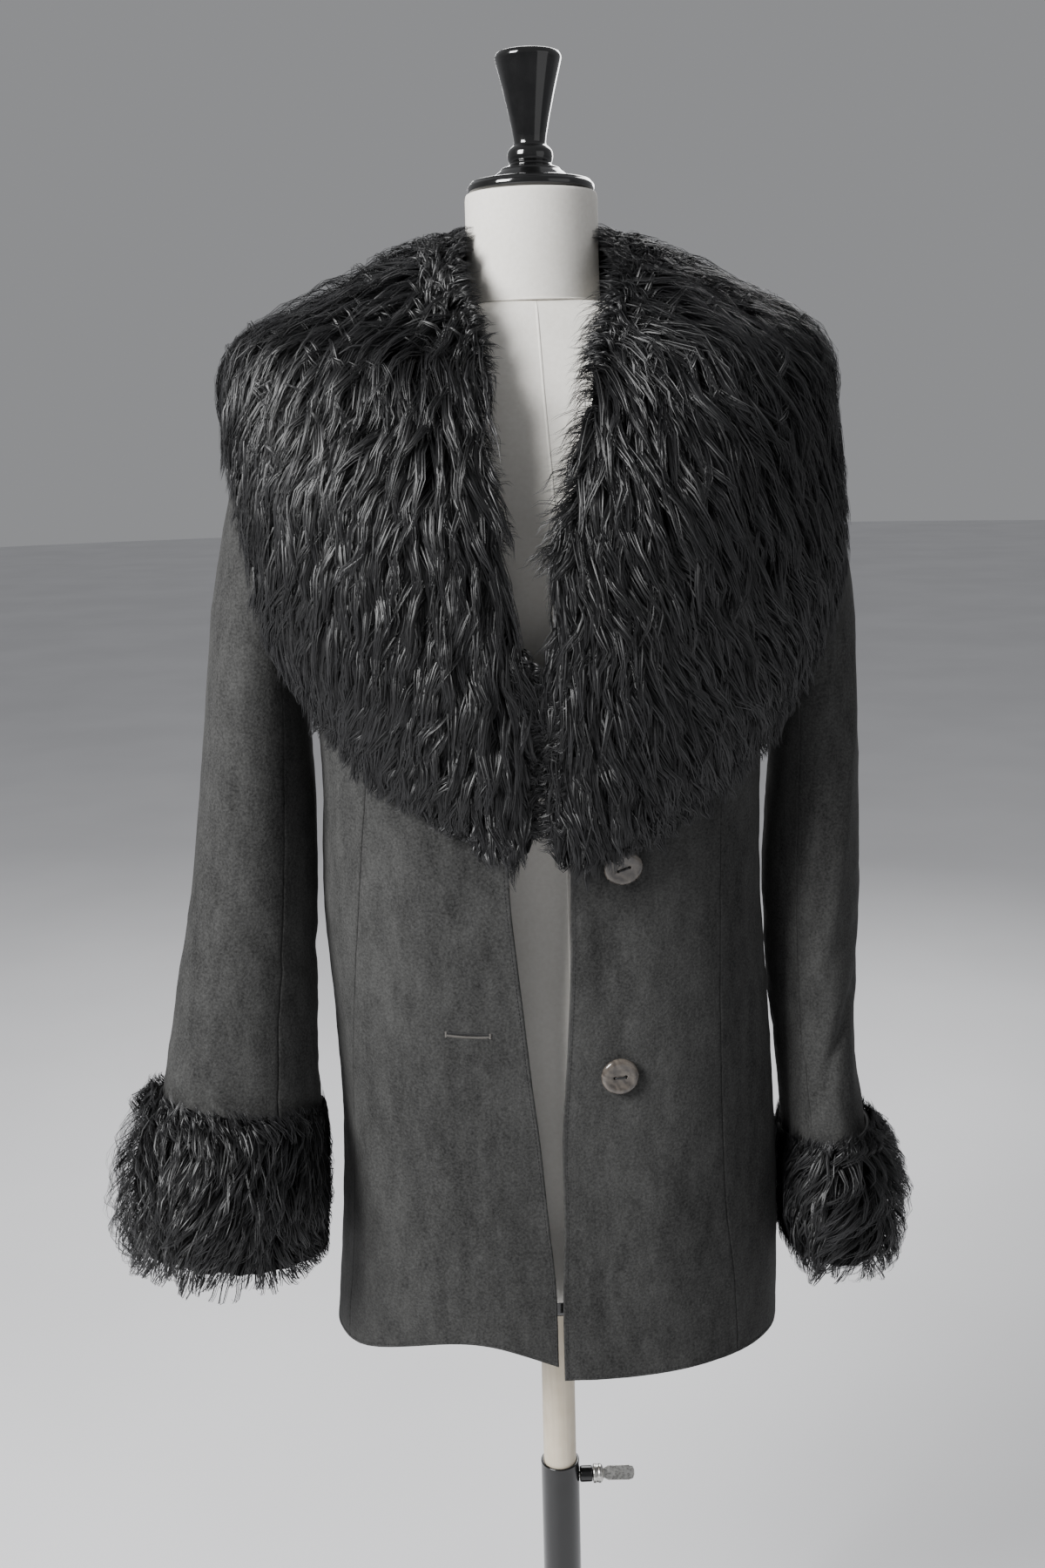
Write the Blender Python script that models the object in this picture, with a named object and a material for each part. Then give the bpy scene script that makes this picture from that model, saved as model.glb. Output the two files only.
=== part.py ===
"""Suede jacket with a fur shawl collar and fur cuffs, on a limbless dress form and its stand.

Metres, +Z up.  The origin is the centre of the stand's base, on the floor.  The front faces -Y,
so the wearer's right side is at -X.  Angles round the body are plan angles in degrees: 0 is the
centre front, 90 the +X side, 180 the centre back and -90 the -X side.
"""
import math

import bpy
import numpy as np

# ---- driving dimensions -------------------------------------------------------------------------
WALL = 0.002                 # suede with its backing
SEAM_GAP = 0.0005            # between two pieces that meet at a seam
LIFT = 0.0006                # between a piece and the panel that it lies on
CUFF_LIFT = 0.0008           # between the cuff and the sleeve inside it
ARMHOLE_LIFT = 0.0007        # between the head of a sleeve and the panels round the armhole
HEM_LEVEL = 0.572
UNDERARM_LEVEL = 1.166
SHOULDER_LEVEL = 1.362       # top of the armhole
NECK_LEVEL = 1.417           # neck edge of the panels
ARMHOLE_SPREAD = 19.0        # half of the armhole's plan angle
HEAD_OVERLAP = 0.0032        # how far the head of a sleeve lies over the armhole's edge
HEAD_SHARE = 0.05            # share of the sleeve over which its wall turns off the body
BODY_HALF_WIDTH = 0.155      # of the body at the armholes
HEM_RISE = 0.031             # the right front hangs higher than the rest of the hem
HEM_RISE_ANGLE = -34.0       # plan angle where it hangs highest
HEM_RISE_SPREAD = 34.0
HEM_RISE_TOP = 0.80          # the rise fades out up to this level
WRIST_FRONT_RISE = 0.012     # the front of the wrist hangs higher than its back
COLLAR_TIP_BULGE = 0.024     # how far the collar's blunt end rounds downward
COLLAR_LOCKS = 0.07          # share of the fur's depth by which its locks rise and fall
CUFF_LOCKS = 0.06
CUFF_LOCK_COUNT = 5.0        # locks round a cuff
CUFF_TOP_RISE = 0.004        # the fur stands up at the top of the cuff
CUFF_SAG = 0.020             # and sags by this from there to its foot
BUTTON_RADIUS = 0.0145
BUTTON_THICKNESS = 0.0065
PART_GAP = 0.0003            # between two rigid parts that touch
POLE_RADIUS = 0.0142
POLE_FOOT = 0.215            # lower end of the pole, inside the tube
POLE_EDGE = 0.002
TUBE_BORE = 0.0145
TUBE_RADIUS = 0.0166
TUBE_TOP = 0.4255
BASE_RADIUS = 0.190
BASE_THICKNESS = 0.012
BASE_EDGE = 0.004            # rounding of the base's rim
SOCKET_RADIUS = 0.025        # the socket on the base that holds the tube
SOCKET_TOP = 0.048
SOCKET_PLAY = 0.0004
SCREW_HEIGHT = 0.4095
SCREW_RADIUS = 0.0030
SCREW_PLAY = 0.0003
BOSS_RADIUS = 0.0068
BOSS_END = 0.0280            # distance of the boss's outer end from the middle of the tube
SCREW_COLLAR = 0.0004        # between the boss and the head of the screw
KEY_HALF_THICKNESS = 0.0014
KEY_TURN = 60.0              # how far the key is turned about the screw, in degrees
FORM_BOTTOM = 0.622
NECK_SEAM = 1.398
NECK_TOP = 1.4755

# Rings of the jacket's outer surface.  Level is the height at the sides; the front and the back of
# a ring lie lower by their drops, which tilts the rings over the shoulders.
BODY_COLUMNS = ("level", "right", "left", "front", "back", "front_drop", "back_drop", "power")
BODY_RINGS = (
    (0.572, 0.1865, 0.1860, 0.1100, 0.1220, 0.000, 0.000, 2.3),
    (0.660, 0.1790, 0.1860, 0.1100, 0.1190, 0.000, 0.000, 2.4),
    (0.780, 0.1730, 0.1815, 0.1120, 0.1130, 0.000, 0.000, 2.5),
    (0.860, 0.1745, 0.1760, 0.1150, 0.1070, 0.000, 0.000, 2.5),
    (0.950, 0.1785, 0.1700, 0.1200, 0.1040, 0.000, 0.000, 2.45),
    (1.050, 0.1750, 0.1690, 0.1270, 0.1060, 0.000, 0.000, 2.4),
    (1.120, 0.1765, 0.1720, 0.1310, 0.1110, 0.000, 0.000, 2.3),
    (1.175, 0.1785, 0.1770, 0.1310, 0.1150, 0.000, 0.000, 2.3),
    (1.245, 0.1840, 0.1830, 0.1250, 0.1170, 0.012, 0.004, 2.3),
    (1.312, 0.1885, 0.1875, 0.1100, 0.1130, 0.024, 0.008, 2.3),
    (1.352, 0.1880, 0.1870, 0.0930, 0.1000, 0.034, 0.010, 2.3),
    (1.371, 0.1650, 0.1650, 0.0800, 0.0870, 0.034, 0.006, 2.2),
    (1.392, 0.1200, 0.1200, 0.0700, 0.0760, 0.028, 0.000, 2.1),
    (1.417, 0.0720, 0.0720, 0.0600, 0.0640, 0.020, -0.008, 2.0),
)

# The bed that the collar lies on: it clears the panels and the heads of the sleeves.
BED_RINGS = (
    (0.990, 0.2000, 0.2000, 0.1292, 0.1180, 0.000, 0.000, 2.3),
    (1.080, 0.2100, 0.2120, 0.1301, 0.1180, 0.000, 0.000, 2.3),
    (1.150, 0.2320, 0.2300, 0.1316, 0.1195, 0.000, 0.000, 2.35),
    (1.220, 0.2370, 0.2340, 0.1330, 0.1205, 0.012, 0.004, 2.4),
    (1.275, 0.2350, 0.2265, 0.1310, 0.1217, 0.026, 0.010, 2.4),
    (1.315, 0.2285, 0.2160, 0.1240, 0.1175, 0.042, 0.022, 2.4),
    (1.341, 0.2210, 0.2095, 0.1150, 0.1101, 0.048, 0.026, 2.35),
    (1.3605, 0.2080, 0.1985, 0.1050, 0.1032, 0.048, 0.022, 2.3),
    (1.3775, 0.1680, 0.1680, 0.0860, 0.0910, 0.042, 0.012, 2.15),
    (1.3985, 0.1210, 0.1210, 0.0740, 0.0790, 0.034, 0.002, 2.1),
    (1.4220, 0.0770, 0.0770, 0.0620, 0.0660, 0.024, -0.008, 2.0),
    (1.4360, 0.0512, 0.0512, 0.0512, 0.0512, 0.014, -0.006, 2.0),
)

# Front edges, princess seams and the rise of the hem, by level.  Widths are distances from the
# middle, in x; the seams are plan angles.
EDGE_COLUMNS = ("level", "right_edge", "left_edge", "right_princess", "left_princess")
EDGE_ROWS = (
    (0.572, -0.0020, 0.0022, -74.0, 62.0),
    (0.650, -0.0030, 0.0026, -73.5, 60.0),
    (0.700, -0.0070, 0.0046, -73.0, 57.5),
    (0.780, -0.0130, 0.0046, -71.0, 56.0),
    (0.830, -0.0180, 0.0080, -68.5, 55.5),
    (0.870, -0.0215, 0.0106, -66.0, 55.0),
    (0.920, -0.0260, 0.0130, -62.5, 55.0),
    (0.970, -0.0300, 0.0138, -59.5, 54.5),
    (1.020, -0.0310, 0.0145, -57.0, 54.0),
    (1.070, -0.0290, 0.0145, -54.5, 53.0),
    (1.110, -0.0290, 0.0150, -52.5, 52.0),
    (1.150, -0.0300, 0.0200, -51.0, 50.5),
    (1.220, -0.0420, 0.0210, -49.0, 49.0),
    (1.290, -0.0480, 0.0380, -50.0, 50.0),
    (1.330, -0.0510, 0.0500, -52.0, 52.0),
    (1.385, -0.0540, 0.0560, -60.0, 60.0),
    (1.417, -0.0540, 0.0540, -68.0, 68.0),
)

# Soft folds of the body: the middle of each, its half width and half length, how deep it is
# (a ridge is positive), and how far it slants (degrees of plan angle per metre of height).
FOLD_COLUMNS = ("angle", "level", "half_width", "half_length", "depth", "slant")
BODY_FOLDS = (
    (-78.0, 0.700, 8.0, 0.120, -0.0045, 20.0),
    (-63.0, 0.640, 7.0, 0.100, 0.0040, 25.0),
    (-40.0, 0.900, 11.0, 0.080, -0.0020, 60.0),
    (-22.0, 0.720, 9.0, 0.110, 0.0025, -25.0),
    (20.0, 0.930, 6.0, 0.055, -0.0028, 10.0),
    (38.0, 0.700, 9.0, 0.110, 0.0028, 20.0),
    (64.0, 0.780, 8.0, 0.140, -0.0040, -20.0),
    (98.0, 0.960, 10.0, 0.090, -0.0035, 0.0),
    (120.0, 0.720, 9.0, 0.130, 0.0040, 20.0),
    (140.0, 1.080, 12.0, 0.050, -0.0030, 150.0),
    (160.0, 0.940, 14.0, 0.060, -0.0030, 60.0),
    (-165.0, 0.700, 10.0, 0.140, -0.0040, -10.0),
    (-140.0, 0.760, 9.0, 0.120, 0.0040, -20.0),
    (-145.0, 1.080, 12.0, 0.050, -0.0030, -150.0),
    (-104.0, 0.930, 9.0, 0.090, -0.0035, 15.0),
)

# Rings of the sleeves: the outer and the inner edge seen from the front, and the middle and half
# depth from front to back.
SLEEVE_COLUMNS = ("outer_x", "outer_z", "inner_x", "inner_z", "middle_y", "half_depth")
SLEEVE_RIGHT = (
    (0.2010, 1.3600, 0.1810, 1.1600, 0.000, 0.0590),
    (0.2115, 1.3450, 0.1850, 1.1450, -0.001, 0.0610),
    (0.2185, 1.3200, 0.1850, 1.1300, -0.002, 0.0620),
    (0.2270, 1.2900, 0.1840, 1.1100, -0.003, 0.0620),
    (0.2385, 1.2500, 0.1830, 1.0850, -0.004, 0.0620),
    (0.2520, 1.1850, 0.1815, 1.0450, -0.007, 0.0600),
    (0.2610, 1.1100, 0.1815, 1.0050, -0.011, 0.0590),
    (0.2700, 1.0380, 0.1825, 0.9600, -0.016, 0.0580),
    (0.2788, 0.9675, 0.1840, 0.9150, -0.023, 0.0570),
    (0.2860, 0.9300, 0.1850, 0.8900, -0.028, 0.0565),
    (0.2928, 0.8945, 0.1860, 0.8620, -0.033, 0.0560),
    (0.3000, 0.8550, 0.1865, 0.8300, -0.038, 0.0555),
    (0.3064, 0.8198, 0.1860, 0.7990, -0.042, 0.0550),
    (0.3146, 0.7740, 0.1850, 0.7570, -0.046, 0.0550),
    (0.3190, 0.7320, 0.1870, 0.7150, -0.049, 0.0550),
    (0.3200, 0.6900, 0.1900, 0.6780, -0.051, 0.0550),
)
SLEEVE_LEFT = (
    (0.1965, 1.3590, 0.1800, 1.1600, 0.000, 0.0590),
    (0.2045, 1.3440, 0.1825, 1.1450, 0.000, 0.0610),
    (0.2110, 1.3200, 0.1830, 1.1300, 0.000, 0.0620),
    (0.2190, 1.2900, 0.1830, 1.1100, 0.001, 0.0620),
    (0.2290, 1.2500, 0.1825, 1.0850, 0.002, 0.0620),
    (0.2400, 1.1850, 0.1805, 1.0450, 0.004, 0.0615),
    (0.2455, 1.1205, 0.1780, 1.0050, 0.006, 0.0610),
    (0.2495, 1.0400, 0.1760, 0.9600, 0.008, 0.0610),
    (0.2515, 0.9719, 0.1765, 0.9150, 0.009, 0.0610),
    (0.2520, 0.9250, 0.1785, 0.8850, 0.008, 0.0610),
    (0.2510, 0.8800, 0.1810, 0.8500, 0.006, 0.0615),
    (0.2480, 0.8380, 0.1845, 0.8180, 0.002, 0.0620),
    (0.2500, 0.7960, 0.1880, 0.7830, -0.002, 0.0630),
    (0.2560, 0.7530, 0.1910, 0.7430, -0.006, 0.0640),
    (0.2605, 0.7080, 0.1940, 0.6990, -0.010, 0.0650),
    (0.2620, 0.6600, 0.1960, 0.6540, -0.013, 0.0650),
)
# Creases of the sleeves: place round the sleeve (0 outer, 90 front, 180 inner), place along it
# (0 armhole, 1 wrist), half sizes, depth and slant.
SLEEVE_FOLD_COLUMNS = ("angle", "along", "half_width", "half_length", "depth", "slant")
SLEEVE_FOLDS_RIGHT = (
    (80.0, 0.540, 60.0, 0.016, -0.0045, 350.0),
    (120.0, 0.600, 50.0, 0.014, 0.0030, 250.0),
    (95.0, 0.690, 60.0, 0.018, -0.0050, -350.0),
    (60.0, 0.740, 50.0, 0.016, 0.0030, 300.0),
    (85.0, 0.800, 55.0, 0.018, -0.0040, 250.0),
    (30.0, 0.300, 25.0, 0.120, -0.0030, 0.0),
    (230.0, 0.620, 60.0, 0.020, -0.0045, 300.0),
    (260.0, 0.720, 50.0, 0.020, -0.0040, -300.0),
)
SLEEVE_FOLDS_LEFT = (
    (75.0, 0.560, 40.0, 0.050, 0.0040, 300.0),
    (60.0, 0.740, 60.0, 0.018, -0.0055, 350.0),
    (100.0, 0.800, 60.0, 0.018, -0.0040, -300.0),
    (130.0, 0.500, 25.0, 0.120, -0.0035, 0.0),
    (250.0, 0.640, 60.0, 0.020, -0.0045, 300.0),
    (270.0, 0.760, 50.0, 0.020, -0.0040, -300.0),
)
# Places round a sleeve where its facets meet: from the hind seam over the top to the front seam, and
# on under the arm to the hind seam again.
SLEEVE_UPPER = (-116.0, -94.0, -74.0, -56.0, -42.0, -29.0, -17.0, -6.0,
                6.0, 17.0, 29.0, 42.0, 56.0, 74.0, 94.0, 124.0)
SLEEVE_UNDER = (124.0, 144.0, 164.0, 184.0, 204.0, 224.0, 244.0)

# The collar from the centre back (share 0) round the neck and down the front to its tip (share 1):
# plan angle and height of its inner and outer edges, and how deep the fur stands.
COLLAR_COLUMNS = ("share", "inner_angle", "inner_height", "outer_angle", "outer_height", "fur")
COLLAR_RIGHT = (
    (0.00, 179.6, 1.460, 179.6, 1.285, 0.028),
    (0.12, 152.0, 1.460, 153.0, 1.288, 0.028),
    (0.24, 122.0, 1.460, 124.0, 1.298, 0.030),
    (0.35, 93.0, 1.460, 98.0, 1.316, 0.028),
    (0.44, 68.0, 1.435, 83.0, 1.308, 0.0235),
    (0.52, 47.0, 1.405, 74.0, 1.272, 0.024),
    (0.60, 28.0, 1.360, 70.0, 1.230, 0.027),
    (0.68, 20.0, 1.300, 67.5, 1.190, 0.029),
    (0.76, 14.0, 1.235, 63.0, 1.140, 0.029),
    (0.84, 9.0, 1.172, 55.0, 1.090, 0.028),
    (0.92, 3.0, 1.115, 45.0, 1.056, 0.026),
    (1.00, 7.0, 1.032, 30.0, 1.030, 0.022),
)
COLLAR_LEFT = (
    (0.00, 179.6, 1.460, 179.6, 1.285, 0.028),
    (0.12, 152.0, 1.460, 153.0, 1.288, 0.028),
    (0.24, 122.0, 1.460, 124.0, 1.297, 0.028),
    (0.35, 93.0, 1.460, 99.0, 1.310, 0.026),
    (0.44, 68.0, 1.432, 84.0, 1.296, 0.019),
    (0.52, 47.0, 1.400, 76.0, 1.258, 0.022),
    (0.60, 27.0, 1.350, 74.0, 1.215, 0.027),
    (0.68, 14.5, 1.290, 71.0, 1.172, 0.029),
    (0.76, 3.5, 1.225, 65.0, 1.128, 0.029),
    (0.84, 2.4, 1.165, 57.0, 1.082, 0.028),
    (0.92, 0.4, 1.105, 47.0, 1.048, 0.026),
    (1.00, 1.6, 1.030, 31.0, 1.018, 0.022),
)

# The cuffs: where each begins and ends along the sleeve, and the depth of its fur on the four sides.
CUFF_COLUMNS = ("start", "end", "outer", "front", "inner", "back")
CUFFS = {"right": (0.838, 1.012, 0.034, 0.034, 0.0045, 0.028),
         "left": (0.885, 1.012, 0.026, 0.028, 0.0045, 0.026)}

# Sections of the dress form.
FORM_COLUMNS = ("level", "half_width", "front", "back", "power")
FORM_RINGS = (
    (0.622, 0.1500, 0.0780, 0.0980, 2.3),
    (0.626, 0.1545, 0.0820, 0.1020, 2.3),
    (0.700, 0.1600, 0.0880, 0.1060, 2.3),
    (0.780, 0.1550, 0.0860, 0.1020, 2.3),
    (0.860, 0.1380, 0.0800, 0.0880, 2.2),
    (0.930, 0.1230, 0.0740, 0.0780, 2.2),
    (1.000, 0.1260, 0.0790, 0.0800, 2.2),
    (1.080, 0.1400, 0.0980, 0.0880, 2.2),
    (1.150, 0.1500, 0.1130, 0.0950, 2.2),
    (1.210, 0.1560, 0.1100, 0.1000, 2.2),
    (1.270, 0.1660, 0.0960, 0.1000, 2.2),
    (1.315, 0.1740, 0.0800, 0.0930, 2.2),
    (1.340, 0.1760, 0.0720, 0.0850, 2.2),
    (1.3592, 0.1695, 0.0650, 0.0780, 2.1),
    (1.3722, 0.1555, 0.0605, 0.0715, 2.0),
    (1.3834, 0.1325, 0.0570, 0.0650, 2.0),
    (1.3915, 0.1110, 0.0530, 0.0590, 2.0),
    (1.395, 0.0850, 0.0505, 0.0535, 2.0),
    (1.398, 0.0500, 0.0480, 0.0500, 2.0),
)

# Profiles of the turned parts.  The button's are shares of its radius and thickness; the others are
# a radius and a height, the cap's from its own underside and the neck's from the floor.
BUTTON_PROFILE = ((0.0, 0.0), (0.40, 0.0), (0.80, 0.10), (0.97, 0.36), (1.0, 0.52), (0.96, 0.68),
                  (0.80, 0.86), (0.45, 0.97), (0.0, 1.0))
NECK_PROFILE = ((0.0490, 1.420), (0.0488, 1.470), (0.0486, 1.4785))
NECK_FOOT_RADIUS = 0.0496
NECK_TOP_RADIUS = 0.0478
CAP_PROFILE = ((0.0, 0.0), (0.0440, 0.0), (0.0462, 0.0020), (0.0462, 0.0055), (0.0450, 0.0075),
               (0.0330, 0.0095), (0.0255, 0.0135), (0.0215, 0.0165), (0.0165, 0.0190),
               (0.0150, 0.0205), (0.0168, 0.0250), (0.0162, 0.0300), (0.0125, 0.0330),
               (0.0116, 0.0360), (0.0145, 0.0520), (0.0190, 0.0720), (0.0236, 0.0900),
               (0.0243, 0.0930), (0.0225, 0.0962), (0.0120, 0.0985), (0.0, 0.0990))
PLATE_RINGS = ((-0.014, 0.955), (-0.012, 0.975), (0.0, 0.985))   # height from its top, share of the form
PLATE_THICKNESS = 0.014
SCREW_HEAD = ((0.0072, 0.0284), (0.0080, 0.0292), (0.0080, 0.0352), (0.0068, 0.0368), (0.0040, 0.0380),
              (0.0, 0.0380))
KEY_OUTLINE = ((0.0360, -0.0030), (0.0400, -0.0055), (0.0600, -0.0060), (0.0640, -0.0040),
               (0.0650, 0.0), (0.0640, 0.0040), (0.0600, 0.0060), (0.0400, 0.0055), (0.0360, 0.0030))

# The buttons: how far each is from the middle, its level, its lift off the suede and its lean.
BUTTON_COLUMNS = ("name", "x", "level", "lift", "lean")
BUTTONS = (
    ("button_upper", 0.0518, 0.9970, 0.0022, 14.0),
    ("button_lower", 0.0484, 0.8310, 0.0008, 0.0),
)


# ---- small helpers ------------------------------------------------------------------------------
def column(rows, names, name):
    """One named column of a table."""
    return np.array([row[names.index(name)] for row in rows], dtype=float)


def smooth(places, values, at):
    """A smooth curve through the values, read at one place or many."""
    places = np.asarray(places, dtype=float)
    values = np.asarray(values, dtype=float)
    at = np.clip(at, places[0], places[-1])
    slopes = np.gradient(values, places)
    left = np.clip(np.searchsorted(places, at, side="right") - 1, 0, len(places) - 2)
    span = places[left + 1] - places[left]
    part = (at - places[left]) / span
    rise = part * part * (3.0 - 2.0 * part)
    value = values[left] + (values[left + 1] - values[left]) * rise
    value += slopes[left] * span * part * (1.0 - part) ** 2
    return value - slopes[left + 1] * span * part * part * (1.0 - part)


def table_reader(rows, names, key):
    """A function that reads every column of a table at any value of its key column."""
    places = column(rows, names, key)
    columns = {name: column(rows, names, name) for name in names if name != key}

    def read(name, at):
        return smooth(places, columns[name], at)

    return read


def plan_radius(angle, half_width, depth, power):
    """Distance from the middle to a rounded box in plan, at a plan angle in radians."""
    across = np.abs(np.sin(angle)) / half_width
    along = np.abs(np.cos(angle)) / depth
    return (across ** power + along ** power) ** (-1.0 / power)


def bump(offset, half_size):
    """A soft bell, 1 in its middle and nearly 0 at twice the half size."""
    return np.exp(-(offset / half_size) ** 2)


read_body = table_reader(BODY_RINGS, BODY_COLUMNS, "level")
read_bed = table_reader(BED_RINGS, BODY_COLUMNS, "level")
read_edge = table_reader(EDGE_ROWS, EDGE_COLUMNS, "level")
read_form = table_reader(FORM_RINGS, FORM_COLUMNS, "level")


# ---- surfaces -----------------------------------------------------------------------------------
def ring_surface(read, degrees, level):
    """Points of a tilted-ring surface; angles in degrees, one level for each."""
    angle = np.radians(degrees)
    right_side = np.sin(angle) < 0.0
    facing_front = np.cos(angle) > 0.0
    half_width = np.where(right_side, read("right", level), read("left", level))
    depth = np.where(facing_front, read("front", level), read("back", level))
    drop = np.where(facing_front, read("front_drop", level), read("back_drop", level))
    radius = plan_radius(angle, half_width, depth, read("power", level))
    height = level - drop * np.cos(angle) ** 2
    return np.stack((radius * np.sin(angle), -radius * np.cos(angle), height), axis=-1)


def normals(surface, degrees, level):
    """Unit normals of a surface, pointing away from the middle."""
    step_angle = 0.5
    step_level = 0.002
    across = surface(degrees + step_angle, level) - surface(degrees - step_angle, level)
    upward = surface(degrees, level + step_level) - surface(degrees, level - step_level)
    normal = np.cross(across, upward)
    return normal / np.linalg.norm(normal, axis=-1, keepdims=True)


def bed_surface(degrees, level):
    return ring_surface(read_bed, degrees, level)


def plain_body(degrees, level):
    return ring_surface(read_body, degrees, level)


def hem_rise(degrees, level):
    """How far the hem is lifted: the right front hangs a little higher than the rest."""
    fade = np.clip((HEM_RISE_TOP - level) / (HEM_RISE_TOP - HEM_LEVEL), 0.0, 1.0)
    lift = HEM_RISE * bump(degrees - HEM_RISE_ANGLE, HEM_RISE_SPREAD) * fade
    return np.where(degrees < 0.0, lift, 0.0)


def body_surface(degrees, level):
    """The jacket's outer surface with its soft folds."""
    point = plain_body(degrees, level)
    point[..., 2] += hem_rise(degrees, level)
    outward = np.zeros_like(point)
    outward[..., 0] = np.sin(np.radians(degrees))
    outward[..., 1] = -np.cos(np.radians(degrees))
    height = np.zeros_like(level)
    for row in BODY_FOLDS:
        fold = dict(zip(FOLD_COLUMNS, row))
        above = level - fold["level"]
        turn = (degrees - fold["angle"] - fold["slant"] * above + 180.0) % 360.0 - 180.0
        bell = bump(turn, fold["half_width"]) * bump(above, fold["half_length"])
        height = height + fold["depth"] * bell
    return point + outward * height[..., None]


def edge_angle(x, level):
    """Plan angle at which the front of the body reaches a distance x from the middle."""
    half_width = np.where(x < 0.0, read_body("right", level), read_body("left", level))
    power = read_body("power", level)
    depth = read_body("front", level) * (1.0 - (np.abs(x) / half_width) ** power) ** (1.0 / power)
    return np.degrees(np.arctan2(x, depth))


def armhole_half_angle(level):
    """How far the armhole reaches from the side seam, in degrees; 0 above and below it."""
    middle = 0.5 * (UNDERARM_LEVEL + SHOULDER_LEVEL)
    half_height = 0.5 * (SHOULDER_LEVEL - UNDERARM_LEVEL)
    part = np.clip((level - middle) / half_height, -1.0, 1.0)
    return ARMHOLE_SPREAD * np.sqrt(1.0 - part * part)


# ---- meshes -------------------------------------------------------------------------------------
def make_material(name, colour, roughness, metallic=0.0):
    material = bpy.data.materials.new(name)
    material.use_nodes = True
    shader = material.node_tree.nodes["Principled BSDF"]
    shader.inputs["Base Color"].default_value = (*colour, 1.0)
    shader.inputs["Roughness"].default_value = roughness
    shader.inputs["Metallic"].default_value = metallic
    return material


def signed_volume(points, faces):
    """Six times the volume that the faces enclose; negative when they point inwards."""
    total = 0.0
    for face in faces:
        first = points[face[0]]
        for second, third in zip(face[1:-1], face[2:]):
            total += float(np.dot(first, np.cross(points[second], points[third])))
    return total


def add_solid(name, points, faces, material, sharp_degrees=40.0):
    """One object from points and faces, its faces turned outward."""
    points = np.asarray(points, dtype=float)
    if signed_volume(points, faces) < 0.0:
        faces = [tuple(reversed(face)) for face in faces]
    mesh = bpy.data.meshes.new(name)
    mesh.from_pydata(points.tolist(), [], faces)
    mesh.materials.append(material)
    mesh.shade_smooth()
    mesh.set_sharp_from_angle(angle=math.radians(sharp_degrees))
    part = bpy.data.objects.new(name, mesh)
    bpy.context.scene.collection.objects.link(part)
    return part


def wall_faces(rows, columns, wrap):
    """Faces of a wall between two grids: outer grid first, then inner grid."""
    shift = rows * columns
    last = columns if wrap else columns - 1
    faces = []
    for row in range(rows - 1):
        for col in range(last):
            a = row * columns + col
            b = row * columns + (col + 1) % columns
            c = b + columns
            d = a + columns
            faces.append((a, b, c, d))
            faces.append((a + shift, d + shift, c + shift, b + shift))
    for col in range(last):
        after = (col + 1) % columns
        faces.append((col, col + shift, after + shift, after))
        low = (rows - 1) * columns
        faces.append((low + col, low + after, low + after + shift, low + col + shift))
    if not wrap:
        for row in range(rows - 1):
            a = row * columns
            b = a + columns
            faces.append((a, b, b + shift, a + shift))
            c = a + columns - 1
            d = b + columns - 1
            faces.append((c, c + shift, d + shift, d))
    return faces


def add_wall(name, outer, inner, material, wrap=False):
    """A closed wall between an outer and an inner grid of points."""
    rows, columns = outer.shape[:2]
    points = np.concatenate((outer.reshape(-1, 3), inner.reshape(-1, 3)))
    return add_solid(name, points, wall_faces(rows, columns, wrap), material)


def add_turned(name, profile, segments, material, hollow=False):
    """A body turned round the Z axis.  A solid profile starts and ends on the axis."""
    turns = np.arange(segments) * 2.0 * math.pi / segments
    rings = profile if hollow else profile[1:-1]
    points = [(r * math.cos(a), r * math.sin(a), z) for r, z in rings for a in turns]
    faces = []
    count = len(rings)
    for ring in range(count if hollow else count - 1):
        above = (ring + 1) % count
        for step in range(segments):
            after = (step + 1) % segments
            low, high = ring * segments, above * segments
            faces.append((low + step, low + after, high + after, high + step))
    if not hollow:
        for (_, height), start in ((profile[0], 0), (profile[-1], (count - 1) * segments)):
            pole = len(points)
            points.append((0.0, 0.0, height))
            for step in range(segments):
                after = (step + 1) % segments
                face = (start + step, start + after, pole)
                faces.append(face if start else tuple(reversed(face)))
    return add_solid(name, points, faces, material)


def loft(name, rings, material):
    """A closed body through rings of points, with flat ends."""
    rows, columns = len(rings), len(rings[0])
    points = np.concatenate(rings)
    faces = []
    for row in range(rows - 1):
        for col in range(columns):
            a = row * columns + col
            b = row * columns + (col + 1) % columns
            faces.append((a, b, b + columns, a + columns))
    faces.append(tuple(range(columns - 1, -1, -1)))
    faces.append(tuple(range((rows - 1) * columns, rows * columns)))
    return add_solid(name, points, faces, material)


# ---- jacket panels ------------------------------------------------------------------------------
def panel_levels():
    """Levels of the panels' rows: close together at the underarm and at the top of the armhole."""
    skirt = np.linspace(HEM_LEVEL, 1.120, 12)
    underarm = UNDERARM_LEVEL + np.array((-0.016, 0.0, 0.005, 0.018, 0.045))
    chest = np.array((1.245, 1.280, 1.310))
    top = SHOULDER_LEVEL - np.array((0.028, 0.012, 0.003, 0.0))
    shoulder = np.array((1.371, 1.386, 1.402, NECK_LEVEL))
    return np.concatenate((skirt, underarm, chest, top, shoulder))


def body_panel(name, first_border, second_border, columns, material):
    """A panel between two borders, given as functions from level to plan angle."""
    levels = panel_levels()
    gap = np.degrees(0.5 * SEAM_GAP / 0.12)
    low = first_border(levels) + gap
    high = second_border(levels) - gap
    share = np.linspace(0.0, 1.0, columns)
    degrees = low[:, None] + (high - low)[:, None] * share[None, :]
    level = np.repeat(levels[:, None], columns, axis=1)
    outer = body_surface(degrees, level)
    inner = outer - WALL * normals(plain_body, degrees, level)
    return add_wall(name, outer, inner, material)


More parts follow.
